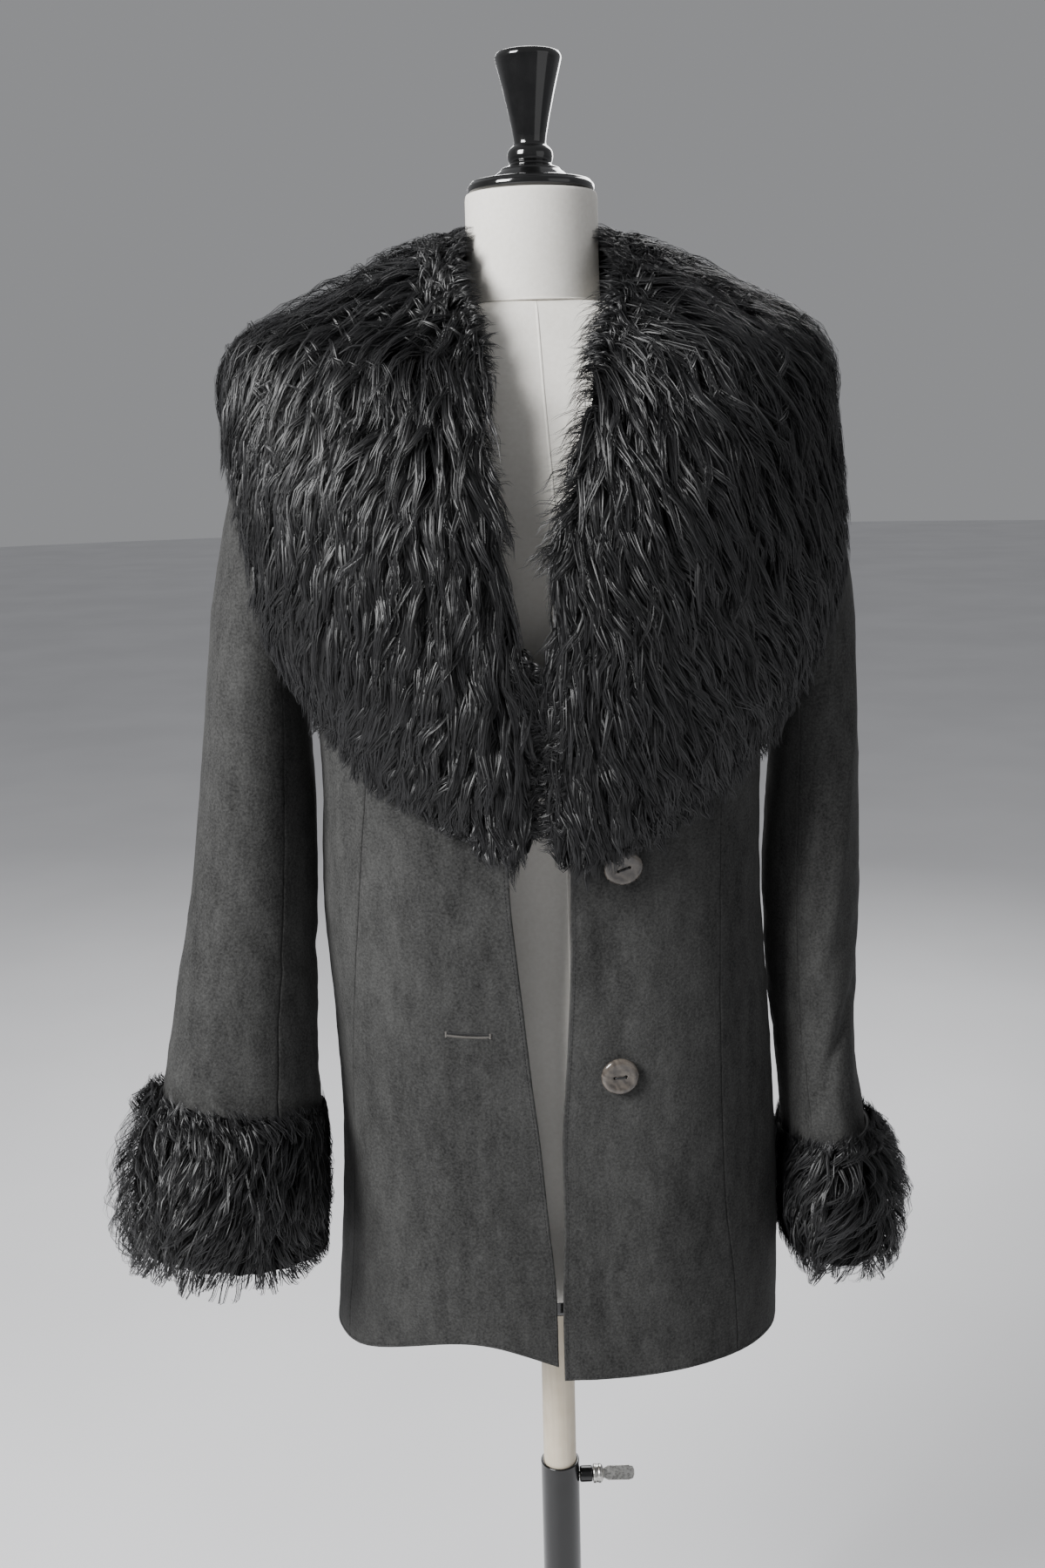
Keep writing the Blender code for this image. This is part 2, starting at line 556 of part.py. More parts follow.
def side_border(side, towards_front):
    """The side seam, the armhole's edge and the shoulder seam as one border."""
    turn = -1.0 if towards_front else 1.0

    def border(level):
        return side * (90.0 + turn * armhole_half_angle(level))

    return border


def front_border(side):
    name = "right_edge" if side < 0 else "left_edge"
    return lambda level: edge_angle(read_edge(name, level), level)


def princess_border(side):
    name = "right_princess" if side < 0 else "left_princess"
    return lambda level: read_edge(name, level)


def build_body_panels(suede):
    body_panel("jacket_front_right", princess_border(-1), front_border(-1), 7, suede)
    body_panel("jacket_side_front_right", side_border(-1, True), princess_border(-1), 4, suede)
    body_panel("jacket_front_left", front_border(1), princess_border(1), 7, suede)
    body_panel("jacket_side_front_left", princess_border(1), side_border(1, True), 5, suede)
    body_panel("jacket_back_left", side_border(1, False), lambda level: level * 0.0 + 180.0, 9, suede)
    body_panel("jacket_back_right", lambda level: level * 0.0 - 180.0, side_border(-1, False), 9, suede)


# ---- sleeves ------------------------------------------------------------------------------------
def sleeve_surface(rows, folds, side):
    """A function from place round a sleeve (degrees) and place along it to a point."""
    places = np.linspace(0.0, 1.0, len(rows) + 1)[1:]
    data = {name: column(rows, SLEEVE_COLUMNS, name) for name in SLEEVE_COLUMNS}
    middle_level = 0.5 * (UNDERARM_LEVEL + SHOULDER_LEVEL)
    half_height = 0.5 * (SHOULDER_LEVEL - UNDERARM_LEVEL) + HEAD_OVERLAP
    half_angle = ARMHOLE_SPREAD + np.degrees(HEAD_OVERLAP / BODY_HALF_WIDTH)

    def armhole_point(angle, inset):
        level = middle_level + (half_height - inset) * np.cos(angle)
        spread = half_angle - np.degrees(inset / BODY_HALF_WIDTH)
        degrees = side * (90.0 - spread * np.sin(angle))
        outward = normals(plain_body, degrees, level)
        return plain_body(degrees, level) + ARMHOLE_LIFT * outward

    def tube_point(angle, along):
        read = {name: smooth(places, data[name], along) for name in SLEEVE_COLUMNS}
        mid_x = 0.5 * (read["outer_x"] + read["inner_x"])
        mid_z = 0.5 * (read["outer_z"] + read["inner_z"])
        half_x = 0.5 * (read["outer_x"] - read["inner_x"])
        half_z = 0.5 * (read["outer_z"] - read["inner_z"])
        x = side * (mid_x + half_x * np.cos(angle))
        y = read["middle_y"] - read["half_depth"] * np.sin(angle)
        z = mid_z + half_z * np.cos(angle) + WRIST_FRONT_RISE * np.sin(angle) * along ** 3
        return np.stack((x, y, z), axis=-1)

    def surface(degrees, along, inset=0.0):
        angle = np.radians(degrees)
        share = np.clip(along / places[1], 0.0, 1.0)[..., None]
        share = share * share * (3.0 - 2.0 * share)
        point = (1.0 - share) * armhole_point(angle, inset) + share * tube_point(angle, along)
        height = np.zeros_like(along)
        for row in folds:
            fold = dict(zip(SLEEVE_FOLD_COLUMNS, row))
            turn = (degrees - fold["angle"] + 180.0) % 360.0 - 180.0
            shift = along - fold["along"]
            if fold["slant"]:
                shift = shift - turn / fold["slant"]
            bell = bump(turn, fold["half_width"]) * bump(shift, fold["half_length"])
            height = height + fold["depth"] * bell
        outward = np.stack((side * np.cos(angle), -np.sin(angle), np.zeros_like(along)), axis=-1)
        return point + outward * height[..., None]

    return surface


def sleeve_normals(surface, degrees, along):
    """Unit normals of a sleeve, pointing out of it."""
    around = surface(degrees + 2.0, along) - surface(degrees - 2.0, along)
    down = surface(degrees, np.minimum(along + 0.01, 1.0)) - surface(degrees, along - 0.01)
    normal = np.cross(around, down)
    centre = surface(degrees + 180.0, along)
    away = np.sum(normal * (surface(degrees, along) - centre), axis=-1, keepdims=True)
    normal = normal * np.sign(away)
    return normal / np.linalg.norm(normal, axis=-1, keepdims=True)


def sleeve_places():
    head = np.array((0.0, 0.022, 0.055, 0.095, 0.140, 0.190))
    return np.concatenate((head, np.linspace(0.26, 0.50, 4), np.linspace(0.55, 1.0, 11)))


def sleeve_piece(name, surface, around, material):
    """One piece of a sleeve; around holds places round it, from one seam to the other."""
    places = sleeve_places()
    gap = np.degrees(0.5 * SEAM_GAP / 0.050)
    around = np.array(around, dtype=float)
    around[0] += gap
    around[-1] -= gap
    degrees = np.repeat(around[None, :], len(places), axis=0)
    along = np.repeat(places[:, None], len(around), axis=1)
    outer = surface(degrees, along)
    normal = sleeve_normals(surface, degrees, along)
    past_head = np.clip(along / HEAD_SHARE, 0.0, 1.0)[..., None]
    inner = past_head * (outer - WALL * normal) + (1.0 - past_head) * surface(degrees, along, WALL)
    return add_wall(name, outer, inner, material)


def build_sleeve(side_name, side, rows, folds, suede, fur):
    surface = sleeve_surface(rows, folds, side)
    sleeve_piece("sleeve_%s_upper" % side_name, surface, SLEEVE_UPPER, suede)
    sleeve_piece("sleeve_%s_under" % side_name, surface, SLEEVE_UNDER, suede)
    build_cuff(side_name, surface, fur)


def on_facets(surface, degrees, along):
    """Points of a sleeve's outer side as its own rows of flat faces make it."""
    places = sleeve_places()
    row = np.clip(np.searchsorted(places, along, side="right") - 1, 0, len(places) - 2)
    share = ((along - places[row]) / (places[row + 1] - places[row]))[..., None]
    return (1.0 - share) * surface(degrees, places[row]) + share * surface(degrees, places[row + 1])


def build_cuff(side_name, surface, fur):
    """A thick ring of fur round the end of the sleeve, its depth different on each side."""
    cuff = dict(zip(CUFF_COLUMNS, CUFFS[side_name]))
    rows = 8
    around = np.array(SLEEVE_UPPER[:-1] + SLEEVE_UNDER[:-1])
    degrees = np.repeat(around[None, :], rows, axis=0)
    share = np.repeat(np.linspace(0.0, 1.0, rows)[:, None], len(around), axis=1)
    along = cuff["start"] + (cuff["end"] - cuff["start"]) * share
    inside = np.minimum(along, 1.0)
    skin = on_facets(surface, degrees, inside)
    skin[..., 2] -= np.maximum(along - 1.0, 0.0)
    normal = sleeve_normals(surface, degrees, inside)
    angle = np.radians(degrees)
    ahead = np.maximum(np.sin(angle), 0.0) ** 2
    behind = np.maximum(-np.sin(angle), 0.0) ** 2
    outside = np.maximum(np.cos(angle), 0.0) ** 2
    within = np.maximum(-np.cos(angle), 0.0) ** 2
    depth = cuff["outer"] * outside + cuff["inner"] * within + cuff["front"] * ahead + cuff["back"] * behind
    swell = np.sin(math.pi * (0.03 + 0.83 * share)) ** 0.6
    locks = 1.0 + CUFF_LOCKS * np.sin(np.radians(CUFF_LOCK_COUNT * degrees) + 9.0 * share)
    inner = skin + CUFF_LIFT * normal
    outer = skin + (CUFF_LIFT + depth * swell * locks)[..., None] * normal
    outer[..., 2] += (CUFF_TOP_RISE - CUFF_SAG * share) * np.clip(depth / CUFF_SAG, 0.0, 1.0)
    add_wall("cuff_fur_%s" % side_name, outer, inner, fur, wrap=True)


# ---- collar -------------------------------------------------------------------------------------
def bed_level(degrees, height):
    """Level at which the collar's bed reaches a height, at each plan angle."""
    levels = np.linspace(BED_RINGS[0][0], BED_RINGS[-1][0], 221)
    found = np.zeros_like(degrees)
    for index, angle in np.ndenumerate(degrees):
        heights = bed_surface(np.full_like(levels, angle), levels)[:, 2]
        found[index] = np.interp(height[index], heights, levels)
    return found


def build_collar(side_name, side, rows, fur):
    """Half of the shawl collar: a pelt whose fur stands out from the bed."""
    read = table_reader(rows, COLLAR_COLUMNS, "share")
    places = np.concatenate((np.linspace(0.0, 0.44, 10), np.linspace(0.48, 1.0, 16)))
    across = np.array((0.0, 0.03, 0.12, 0.27, 0.45, 0.63, 0.81, 0.95, 1.0))
    inner_angle = side * read("inner_angle", places)
    outer_angle = side * read("outer_angle", places)
    inner_level = bed_level(inner_angle, read("inner_height", places))
    outer_level = bed_level(outer_angle, read("outer_height", places))
    share = across[None, :]
    degrees = inner_angle[:, None] + (outer_angle - inner_angle)[:, None] * share
    level = inner_level[:, None] + (outer_level - inner_level)[:, None] * share
    end = np.clip((places[:, None] - 0.80) / 0.20, 0.0, 1.0) ** 2
    level = level - COLLAR_TIP_BULGE * end * np.sin(math.pi * share ** 0.4)
    bed = bed_surface(degrees, level)
    normal = normals(bed_surface, degrees, level)
    rounded = np.sin(math.pi * (0.04 + 0.92 * share) ** 0.85) ** 0.42
    taper = 1.0 - 0.55 * share ** 3
    depth = read("fur", places)[:, None] * rounded * taper
    place = places[:, None]
    locks = 1.0 + COLLAR_LOCKS * np.sin(70.0 * place + 5.0 * share) * np.sin(9.0 * share + 12.0 * place)
    outer = bed + (LIFT + depth * locks)[..., None] * normal
    inner = bed + LIFT * normal
    add_wall("collar_fur_%s" % side_name, outer, inner, fur)


# ---- buttons ------------------------------------------------------------------------------------
def place_on_front(part, x, level, lift, lean_degrees):
    """Turn a part's +Z to the front's normal at a point and move it there."""
    degrees = edge_angle(np.array(x), np.array(level))
    point = body_surface(degrees, np.array(level))
    normal = normals(plain_body, degrees, np.array(level))
    lean = math.radians(lean_degrees)
    up = np.array((0.0, 0.0, 1.0))
    across = np.cross(up, normal)
    across /= np.linalg.norm(across)
    upward = np.cross(normal, across)
    axis = normal * math.cos(lean) - upward * math.sin(lean)
    rise = np.cross(axis, across)
    matrix = np.eye(4)
    matrix[:3, 0] = across
    matrix[:3, 1] = rise
    matrix[:3, 2] = axis
    matrix[:3, 3] = point + normal * lift
    mesh = part.data
    moved = [matrix @ np.array((*vertex.co, 1.0)) for vertex in mesh.vertices]
    for vertex, place in zip(mesh.vertices, moved):
        vertex.co = place[:3]
    mesh.update()


def add_button(name, x, level, lift, lean_degrees, material):
    """A domed button with a rolled rim; its back lies just off the suede."""
    profile = [(r * BUTTON_RADIUS, z * BUTTON_THICKNESS) for r, z in BUTTON_PROFILE]
    part = add_turned(name, profile, 20, material)
    place_on_front(part, x, level, lift, lean_degrees)


# ---- dress form and stand -----------------------------------------------------------------------
def form_ring(level, columns):
    degrees = np.arange(columns) * 360.0 / columns
    angle = np.radians(degrees)
    depth = np.where(np.cos(angle) > 0.0, read_form("front", level), read_form("back", level))
    radius = plan_radius(angle, read_form("half_width", level), depth, read_form("power", level))
    return np.stack((radius * np.sin(angle), -radius * np.cos(angle), np.full(columns, level)), axis=-1)


def build_form(calico, lacquer, wood):
    levels = np.concatenate((np.array((0.622, 0.626, 0.650)), np.linspace(0.70, 1.30, 13),
                             np.array((1.320, 1.340, 1.3592, 1.3722, 1.3834, 1.3915, 1.395, NECK_SEAM))))
    loft("form_torso", [form_ring(level, 28) for level in levels], calico)
    low = NECK_SEAM + PART_GAP
    neck = [(0.0, low), (NECK_FOOT_RADIUS, low)]
    neck += NECK_PROFILE
    neck += [(NECK_TOP_RADIUS, NECK_TOP), (0.0, NECK_TOP)]
    add_turned("form_neck", neck, 28, calico)
    cap = [(radius, NECK_TOP + PART_GAP + height) for radius, height in CAP_PROFILE]
    add_turned("neck_cap", cap, 24, lacquer)
    plate_top = FORM_BOTTOM - PART_GAP
    plate_rings = []
    for height, shrink in PLATE_RINGS:
        ring = form_ring(FORM_BOTTOM, 32)
        ring[:, :2] *= shrink
        ring[:, 2] = plate_top + height
        plate_rings.append(ring)
    loft("form_base_plate", plate_rings, lacquer)
    pole_top = plate_top - PLATE_THICKNESS - PART_GAP
    pole = ((0.0, POLE_FOOT), (POLE_RADIUS - POLE_EDGE, POLE_FOOT), (POLE_RADIUS, POLE_FOOT + POLE_EDGE),
            (POLE_RADIUS, pole_top), (0.0, pole_top))
    add_turned("pole", pole, 28, wood)


def build_stand(metal, bright):
    socket_bore = TUBE_RADIUS + SOCKET_PLAY
    plate = ((0.0, 0.0), (BASE_RADIUS - BASE_EDGE, 0.0), (BASE_RADIUS, BASE_EDGE),
             (BASE_RADIUS, BASE_THICKNESS - BASE_EDGE), (BASE_RADIUS - BASE_EDGE, BASE_THICKNESS),
             (SOCKET_RADIUS + 0.009, BASE_THICKNESS + BASE_EDGE),
             (SOCKET_RADIUS + 0.001, BASE_THICKNESS + 3.0 * BASE_EDGE), (SOCKET_RADIUS, SOCKET_TOP - 0.002),
             (SOCKET_RADIUS - 0.002, SOCKET_TOP), (socket_bore, SOCKET_TOP), (socket_bore, BASE_THICKNESS),
             (0.0, BASE_THICKNESS))
    add_turned("stand_base", plate, 40, metal)
    low = BASE_THICKNESS + PART_GAP
    tube = ((TUBE_BORE, low), (TUBE_RADIUS, low),
            (TUBE_RADIUS, TUBE_TOP - 0.001), (TUBE_RADIUS - 0.0006, TUBE_TOP), (TUBE_BORE, TUBE_TOP))
    body = add_turned("stand_tube", tube, 28, metal, hollow=True)
    cut_screw_hole(body)
    build_clamp(metal, bright)


def cut_screw_hole(tube):
    """The clamp screw passes through the tube's wall on the +X side."""
    radius = SCREW_RADIUS + SOCKET_PLAY
    near = 0.5 * TUBE_RADIUS
    far = 2.0 * TUBE_RADIUS
    profile = ((0.0, near), (radius, near), (radius, far), (0.0, far))
    cutter = add_turned("screw_hole_cutter", profile, 16, tube.data.materials[0])
    cutter.rotation_euler = (0.0, math.pi / 2.0, 0.0)
    cutter.location = (0.0, 0.0, SCREW_HEIGHT)
    cutter.hide_render = True
    cutter.display_type = "WIRE"
    modifier = tube.modifiers.new("screw_hole", "BOOLEAN")
    modifier.operation = "DIFFERENCE"
    modifier.object = cutter
    modifier.solver = "EXACT"


def build_clamp(metal, bright):
    """A boss on the tube and the thumb screw that turns in it about the X axis."""
    start = TUBE_RADIUS + PART_GAP
    bore = SCREW_RADIUS + SCREW_PLAY
    edge = BOSS_RADIUS - 0.0008
    boss = ((bore, start), (edge, start), (BOSS_RADIUS, start + 0.0012), (BOSS_RADIUS, BOSS_END - 0.0008),
            (edge, BOSS_END), (bore, BOSS_END))
    part = add_turned("clamp_boss", boss, 20, metal, hollow=True)
    part.rotation_euler = (0.0, math.pi / 2.0, 0.0)
    part.location = (0.0, 0.0, SCREW_HEIGHT)
    tip = POLE_RADIUS + SOCKET_PLAY
    screw = [(0.0, tip), (SCREW_RADIUS - 0.0008, tip), (SCREW_RADIUS, tip + 0.0008),
             (SCREW_RADIUS, BOSS_END + SCREW_COLLAR)]
    screw += SCREW_HEAD
    shank = add_turned("clamp_screw", screw, 20, bright)
    shank.rotation_euler = (0.0, math.pi / 2.0, 0.0)
    shank.location = (0.0, 0.0, SCREW_HEIGHT)
    heights = (-KEY_HALF_THICKNESS, KEY_HALF_THICKNESS)
    points = [(x, y, z) for z in heights for x, y in KEY_OUTLINE]
    count = len(KEY_OUTLINE)
    faces = [tuple(range(count - 1, -1, -1)), tuple(range(count, 2 * count))]
    for step in range(count):
        after = (step + 1) % count
        faces.append((step, after, after + count, step + count))
    wing = add_solid("key_wing", points, faces, bright)
    wing.rotation_euler = (math.radians(KEY_TURN), 0.0, 0.0)
    wing.location = (0.0, 0.0, SCREW_HEIGHT)
    wing.hide_render = True
    wing.display_type = "WIRE"
    modifier = shank.modifiers.new("key", "BOOLEAN")
    modifier.operation = "UNION"
    modifier.object = wing
    modifier.solver = "EXACT"


# ---- the whole object ---------------------------------------------------------------------------
def main():
    for old in list(bpy.data.objects):
        bpy.data.objects.remove(old, do_unlink=True)
    suede = make_material("black_suede", (0.018, 0.018, 0.019), 0.95)
    fur = make_material("black_sheepskin_fur", (0.008, 0.008, 0.009), 0.65)
    horn = make_material("polished_horn", (0.10, 0.085, 0.075), 0.30)
    calico = make_material("white_calico", (0.66, 0.65, 0.62), 0.90)
    lacquer = make_material("black_lacquer", (0.004, 0.004, 0.004), 0.08)
    wood = make_material("cream_painted_wood", (0.62, 0.57, 0.47), 0.45)
    metal = make_material("black_painted_steel", (0.006, 0.006, 0.006), 0.25)
    bright = make_material("bright_steel", (0.60, 0.60, 0.60), 0.30, 1.0)
    build_body_panels(suede)
    build_sleeve("right", -1.0, SLEEVE_RIGHT, SLEEVE_FOLDS_RIGHT, suede, fur)
    build_sleeve("left", 1.0, SLEEVE_LEFT, SLEEVE_FOLDS_LEFT, suede, fur)
    build_collar("right", -1.0, COLLAR_RIGHT, fur)
    build_collar("left", 1.0, COLLAR_LEFT, fur)
    for row in BUTTONS:
        button = dict(zip(BUTTON_COLUMNS, row))
        add_button(button["name"], button["x"], button["level"], button["lift"], button["lean"], horn)
    build_form(calico, lacquer, wood)
    build_stand(metal, bright)


main()
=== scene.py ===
"""Looks of the suede jacket with fur collar and cuffs, on a dress form and its stand."""
import math

import bpy
import numpy as np
from mathutils import Matrix, Vector


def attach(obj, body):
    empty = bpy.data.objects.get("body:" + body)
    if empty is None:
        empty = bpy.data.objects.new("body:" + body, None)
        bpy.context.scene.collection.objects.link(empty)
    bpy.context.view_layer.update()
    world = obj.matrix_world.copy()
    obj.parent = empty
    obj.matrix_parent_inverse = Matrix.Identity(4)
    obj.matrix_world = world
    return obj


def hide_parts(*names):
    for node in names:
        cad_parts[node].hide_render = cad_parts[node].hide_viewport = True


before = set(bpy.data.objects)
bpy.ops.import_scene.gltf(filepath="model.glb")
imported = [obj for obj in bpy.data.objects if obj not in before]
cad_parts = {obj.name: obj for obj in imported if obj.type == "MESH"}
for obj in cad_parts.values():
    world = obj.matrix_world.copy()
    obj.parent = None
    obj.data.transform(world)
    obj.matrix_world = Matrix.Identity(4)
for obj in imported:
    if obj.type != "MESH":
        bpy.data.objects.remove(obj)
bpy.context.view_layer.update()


# ---- sizes of the garment, in metres; plan angles in degrees, 0 at the centre front, 90 at +X ----
WALL = 0.002
HEM_LEVEL = 0.572
UNDERARM_LEVEL = 1.166
SHOULDER_LEVEL = 1.362
NECK_LEVEL = 1.417
ARMHOLE_SPREAD = 19.0
HEAD_OVERLAP = 0.0032
BODY_HALF_WIDTH = 0.155
ARMHOLE_LIFT = 0.0007
SEAM_GAP = 0.00004           # sewn shut
LIFT = 0.0006
WRIST_FRONT_RISE = 0.012
COLLAR_TIP_BULGE = 0.024
STITCH_GROOVE = 0.00022      # dent of the topstitch along a sewn edge
STITCH_INSET = 0.0031
PELT_THICKNESS = 0.0022
SIDES = (("right", -1.0), ("left", 1.0))

RING = ("level", "right", "left", "front", "back", "front_drop", "back_drop", "power")
BODY_RINGS = (
    (0.572, 0.1865, 0.1860, 0.1100, 0.1220, 0.000, 0.000, 2.3),
    (0.660, 0.1790, 0.1860, 0.1100, 0.1190, 0.000, 0.000, 2.4),
    (0.780, 0.1730, 0.1815, 0.1120, 0.1130, 0.000, 0.000, 2.5),
    (0.860, 0.1745, 0.1760, 0.1150, 0.1070, 0.000, 0.000, 2.5),
    (0.950, 0.1785, 0.1700, 0.1200, 0.1040, 0.000, 0.000, 2.45),
    (1.050, 0.1750, 0.1690, 0.1270, 0.1060, 0.000, 0.000, 2.4),
    (1.120, 0.1765, 0.1720, 0.1310, 0.1110, 0.000, 0.000, 2.3),
    (1.175, 0.1785, 0.1770, 0.1310, 0.1150, 0.000, 0.000, 2.3),
    (1.245, 0.1840, 0.1830, 0.1250, 0.1170, 0.012, 0.004, 2.3),
    (1.312, 0.1885, 0.1875, 0.1100, 0.1130, 0.024, 0.008, 2.3),
    (1.352, 0.1880, 0.1870, 0.0930, 0.1000, 0.034, 0.010, 2.3),
    (1.371, 0.1650, 0.1650, 0.0800, 0.0870, 0.034, 0.006, 2.2),
    (1.392, 0.1200, 0.1200, 0.0700, 0.0760, 0.028, 0.000, 2.1),
    (1.417, 0.0720, 0.0720, 0.0600, 0.0640, 0.020, -0.008, 2.0),
)
BED_RINGS = (
    (0.990, 0.2000, 0.2000, 0.1292, 0.1180, 0.000, 0.000, 2.3),
    (1.080, 0.2100, 0.2120, 0.1301, 0.1180, 0.000, 0.000, 2.3),
    (1.150, 0.2320, 0.2300, 0.1316, 0.1195, 0.000, 0.000, 2.35),
    (1.220, 0.2370, 0.2340, 0.1330, 0.1205, 0.012, 0.004, 2.4),
    (1.275, 0.2350, 0.2265, 0.1310, 0.1217, 0.026, 0.010, 2.4),
    (1.315, 0.2285, 0.2160, 0.1240, 0.1175, 0.042, 0.022, 2.4),
    (1.341, 0.2210, 0.2095, 0.1150, 0.1101, 0.048, 0.026, 2.35),
    (1.3605, 0.2080, 0.1985, 0.1050, 0.1032, 0.048, 0.022, 2.3),
    (1.3775, 0.1680, 0.1680, 0.0860, 0.0910, 0.042, 0.012, 2.15),
    (1.3985, 0.1210, 0.1210, 0.0740, 0.0790, 0.034, 0.002, 2.1),
    (1.4220, 0.0770, 0.0770, 0.0620, 0.0660, 0.024, -0.008, 2.0),
    (1.4360, 0.0512, 0.0512, 0.0512, 0.0512, 0.014, -0.006, 2.0),
)
EDGE = ("level", "right_edge", "left_edge", "right_princess", "left_princess")
EDGE_ROWS = (
    (0.572, -0.0020, 0.0022, -74.0, 62.0),
    (0.650, -0.0030, 0.0026, -73.5, 60.0),
    (0.700, -0.0070, 0.0046, -73.0, 57.5),
    (0.780, -0.0130, 0.0046, -71.0, 56.0),
    (0.830, -0.0180, 0.0080, -68.5, 55.5),
    (0.870, -0.0215, 0.0106, -66.0, 55.0),
    (0.920, -0.0260, 0.0130, -62.5, 55.0),
    (0.970, -0.0300, 0.0138, -59.5, 54.5),
    (1.020, -0.0310, 0.0145, -57.0, 54.0),
    (1.070, -0.0290, 0.0145, -54.5, 53.0),
    (1.110, -0.0290, 0.0150, -52.5, 52.0),
    (1.150, -0.0300, 0.0200, -51.0, 50.5),
    (1.220, -0.0420, 0.0210, -49.0, 49.0),
    (1.290, -0.0480, 0.0380, -50.0, 50.0),
    (1.330, -0.0510, 0.0500, -52.0, 52.0),
    (1.385, -0.0540, 0.0560, -60.0, 60.0),
    (1.417, -0.0540, 0.0540, -68.0, 68.0),
)
# soft folds: plan angle, level, half width in degrees, half length, depth, slant
BODY_FOLDS = (
    (-78.0, 0.700, 8.0, 0.120, -0.0045, 20.0),
    (-63.0, 0.640, 7.0, 0.100, 0.0040, 25.0),
    (-40.0, 0.900, 11.0, 0.080, -0.0020, 60.0),
    (-22.0, 0.720, 9.0, 0.110, 0.0025, -25.0),
    (20.0, 0.930, 6.0, 0.055, -0.0028, 10.0),
    (38.0, 0.700, 9.0, 0.110, 0.0028, 20.0),
    (64.0, 0.780, 8.0, 0.140, -0.0040, -20.0),
    (98.0, 0.960, 10.0, 0.090, -0.0035, 0.0),
    (120.0, 0.720, 9.0, 0.130, 0.0040, 20.0),
    (140.0, 1.080, 12.0, 0.050, -0.0030, 150.0),
    (160.0, 0.940, 14.0, 0.060, -0.0030, 60.0),
    (-165.0, 0.700, 10.0, 0.140, -0.0040, -10.0),
    (-140.0, 0.760, 9.0, 0.120, 0.0040, -20.0),
    (-145.0, 1.080, 12.0, 0.050, -0.0030, -150.0),
    (-104.0, 0.930, 9.0, 0.090, -0.0035, 15.0),
)
# finer creases of the suede, in the same columns
BODY_CREASES = (
    (25.5, 0.880, 1.6, 0.030, -0.0010, -5.0),
    (30.0, 0.800, 2.5, 0.045, 0.0008, 30.0),
    (46.0, 0.900, 3.0, 0.060, -0.0010, -20.0),
    (12.0, 0.640, 3.0, 0.060, 0.0010, -15.0),
    (-30.0, 0.790, 3.0, 0.060, -0.0009, 30.0),
    (-52.0, 0.960, 3.0, 0.050, -0.0010, 50.0),
    (-14.0, 0.960, 2.5, 0.040, 0.0008, -30.0),
    (-48.0, 0.690, 3.5, 0.070, -0.0010, 15.0),
    (-85.0, 1.020, 3.0, 0.040, -0.0012, 90.0),
    (84.0, 1.060, 3.0, 0.040, -0.0012, -90.0),
    (150.0, 0.800, 4.0, 0.080, -0.0012, 15.0),
    (-125.0, 0.900, 4.0, 0.060, -0.0012, -40.0),
    (110.0, 0.840, 4.0, 0.060, 0.0012, 30.0),
    (-172.0, 1.020, 5.0, 0.030, -0.0010, 100.0),
)
SLEEVE = ("outer_x", "outer_z", "inner_x", "inner_z", "middle_y", "half_depth")
SLEEVE_RIGHT = (
    (0.2010, 1.3600, 0.1810, 1.1600, 0.000, 0.0590),
    (0.2115, 1.3450, 0.1850, 1.1450, -0.001, 0.0610),
    (0.2185, 1.3200, 0.1850, 1.1300, -0.002, 0.0620),
    (0.2270, 1.2900, 0.1840, 1.1100, -0.003, 0.0620),
    (0.2385, 1.2500, 0.1830, 1.0850, -0.004, 0.0620),
    (0.2520, 1.1850, 0.1815, 1.0450, -0.007, 0.0600),
    (0.2610, 1.1100, 0.1815, 1.0050, -0.011, 0.0590),
    (0.2700, 1.0380, 0.1825, 0.9600, -0.016, 0.0580),
    (0.2788, 0.9675, 0.1840, 0.9150, -0.023, 0.0570),
    (0.2860, 0.9300, 0.1850, 0.8900, -0.028, 0.0565),
    (0.2928, 0.8945, 0.1860, 0.8620, -0.033, 0.0560),
    (0.3000, 0.8550, 0.1865, 0.8300, -0.038, 0.0555),
    (0.3064, 0.8198, 0.1860, 0.7990, -0.042, 0.0550),
    (0.3146, 0.7740, 0.1850, 0.7570, -0.046, 0.0550),
    (0.3190, 0.7320, 0.1870, 0.7150, -0.049, 0.0550),
    (0.3200, 0.6900, 0.1900, 0.6780, -0.051, 0.0550),
)
SLEEVE_LEFT = (
    (0.1965, 1.3590, 0.1800, 1.1600, 0.000, 0.0590),
    (0.2045, 1.3440, 0.1825, 1.1450, 0.000, 0.0610),
    (0.2110, 1.3200, 0.1830, 1.1300, 0.000, 0.0620),
    (0.2190, 1.2900, 0.1830, 1.1100, 0.001, 0.0620),
    (0.2290, 1.2500, 0.1825, 1.0850, 0.002, 0.0620),
    (0.2400, 1.1850, 0.1805, 1.0450, 0.004, 0.0615),
    (0.2455, 1.1205, 0.1780, 1.0050, 0.006, 0.0610),
    (0.2495, 1.0400, 0.1760, 0.9600, 0.008, 0.0610),
    (0.2515, 0.9719, 0.1765, 0.9150, 0.009, 0.0610),
    (0.2520, 0.9250, 0.1785, 0.8850, 0.008, 0.0610),
    (0.2510, 0.8800, 0.1810, 0.8500, 0.006, 0.0615),
    (0.2480, 0.8380, 0.1845, 0.8180, 0.002, 0.0620),
    (0.2500, 0.7960, 0.1880, 0.7830, -0.002, 0.0630),
    (0.2560, 0.7530, 0.1910, 0.7430, -0.006, 0.0640),
    (0.2605, 0.7080, 0.1940, 0.6990, -0.010, 0.0650),
    (0.2620, 0.6600, 0.1960, 0.6540, -0.013, 0.0650),
)
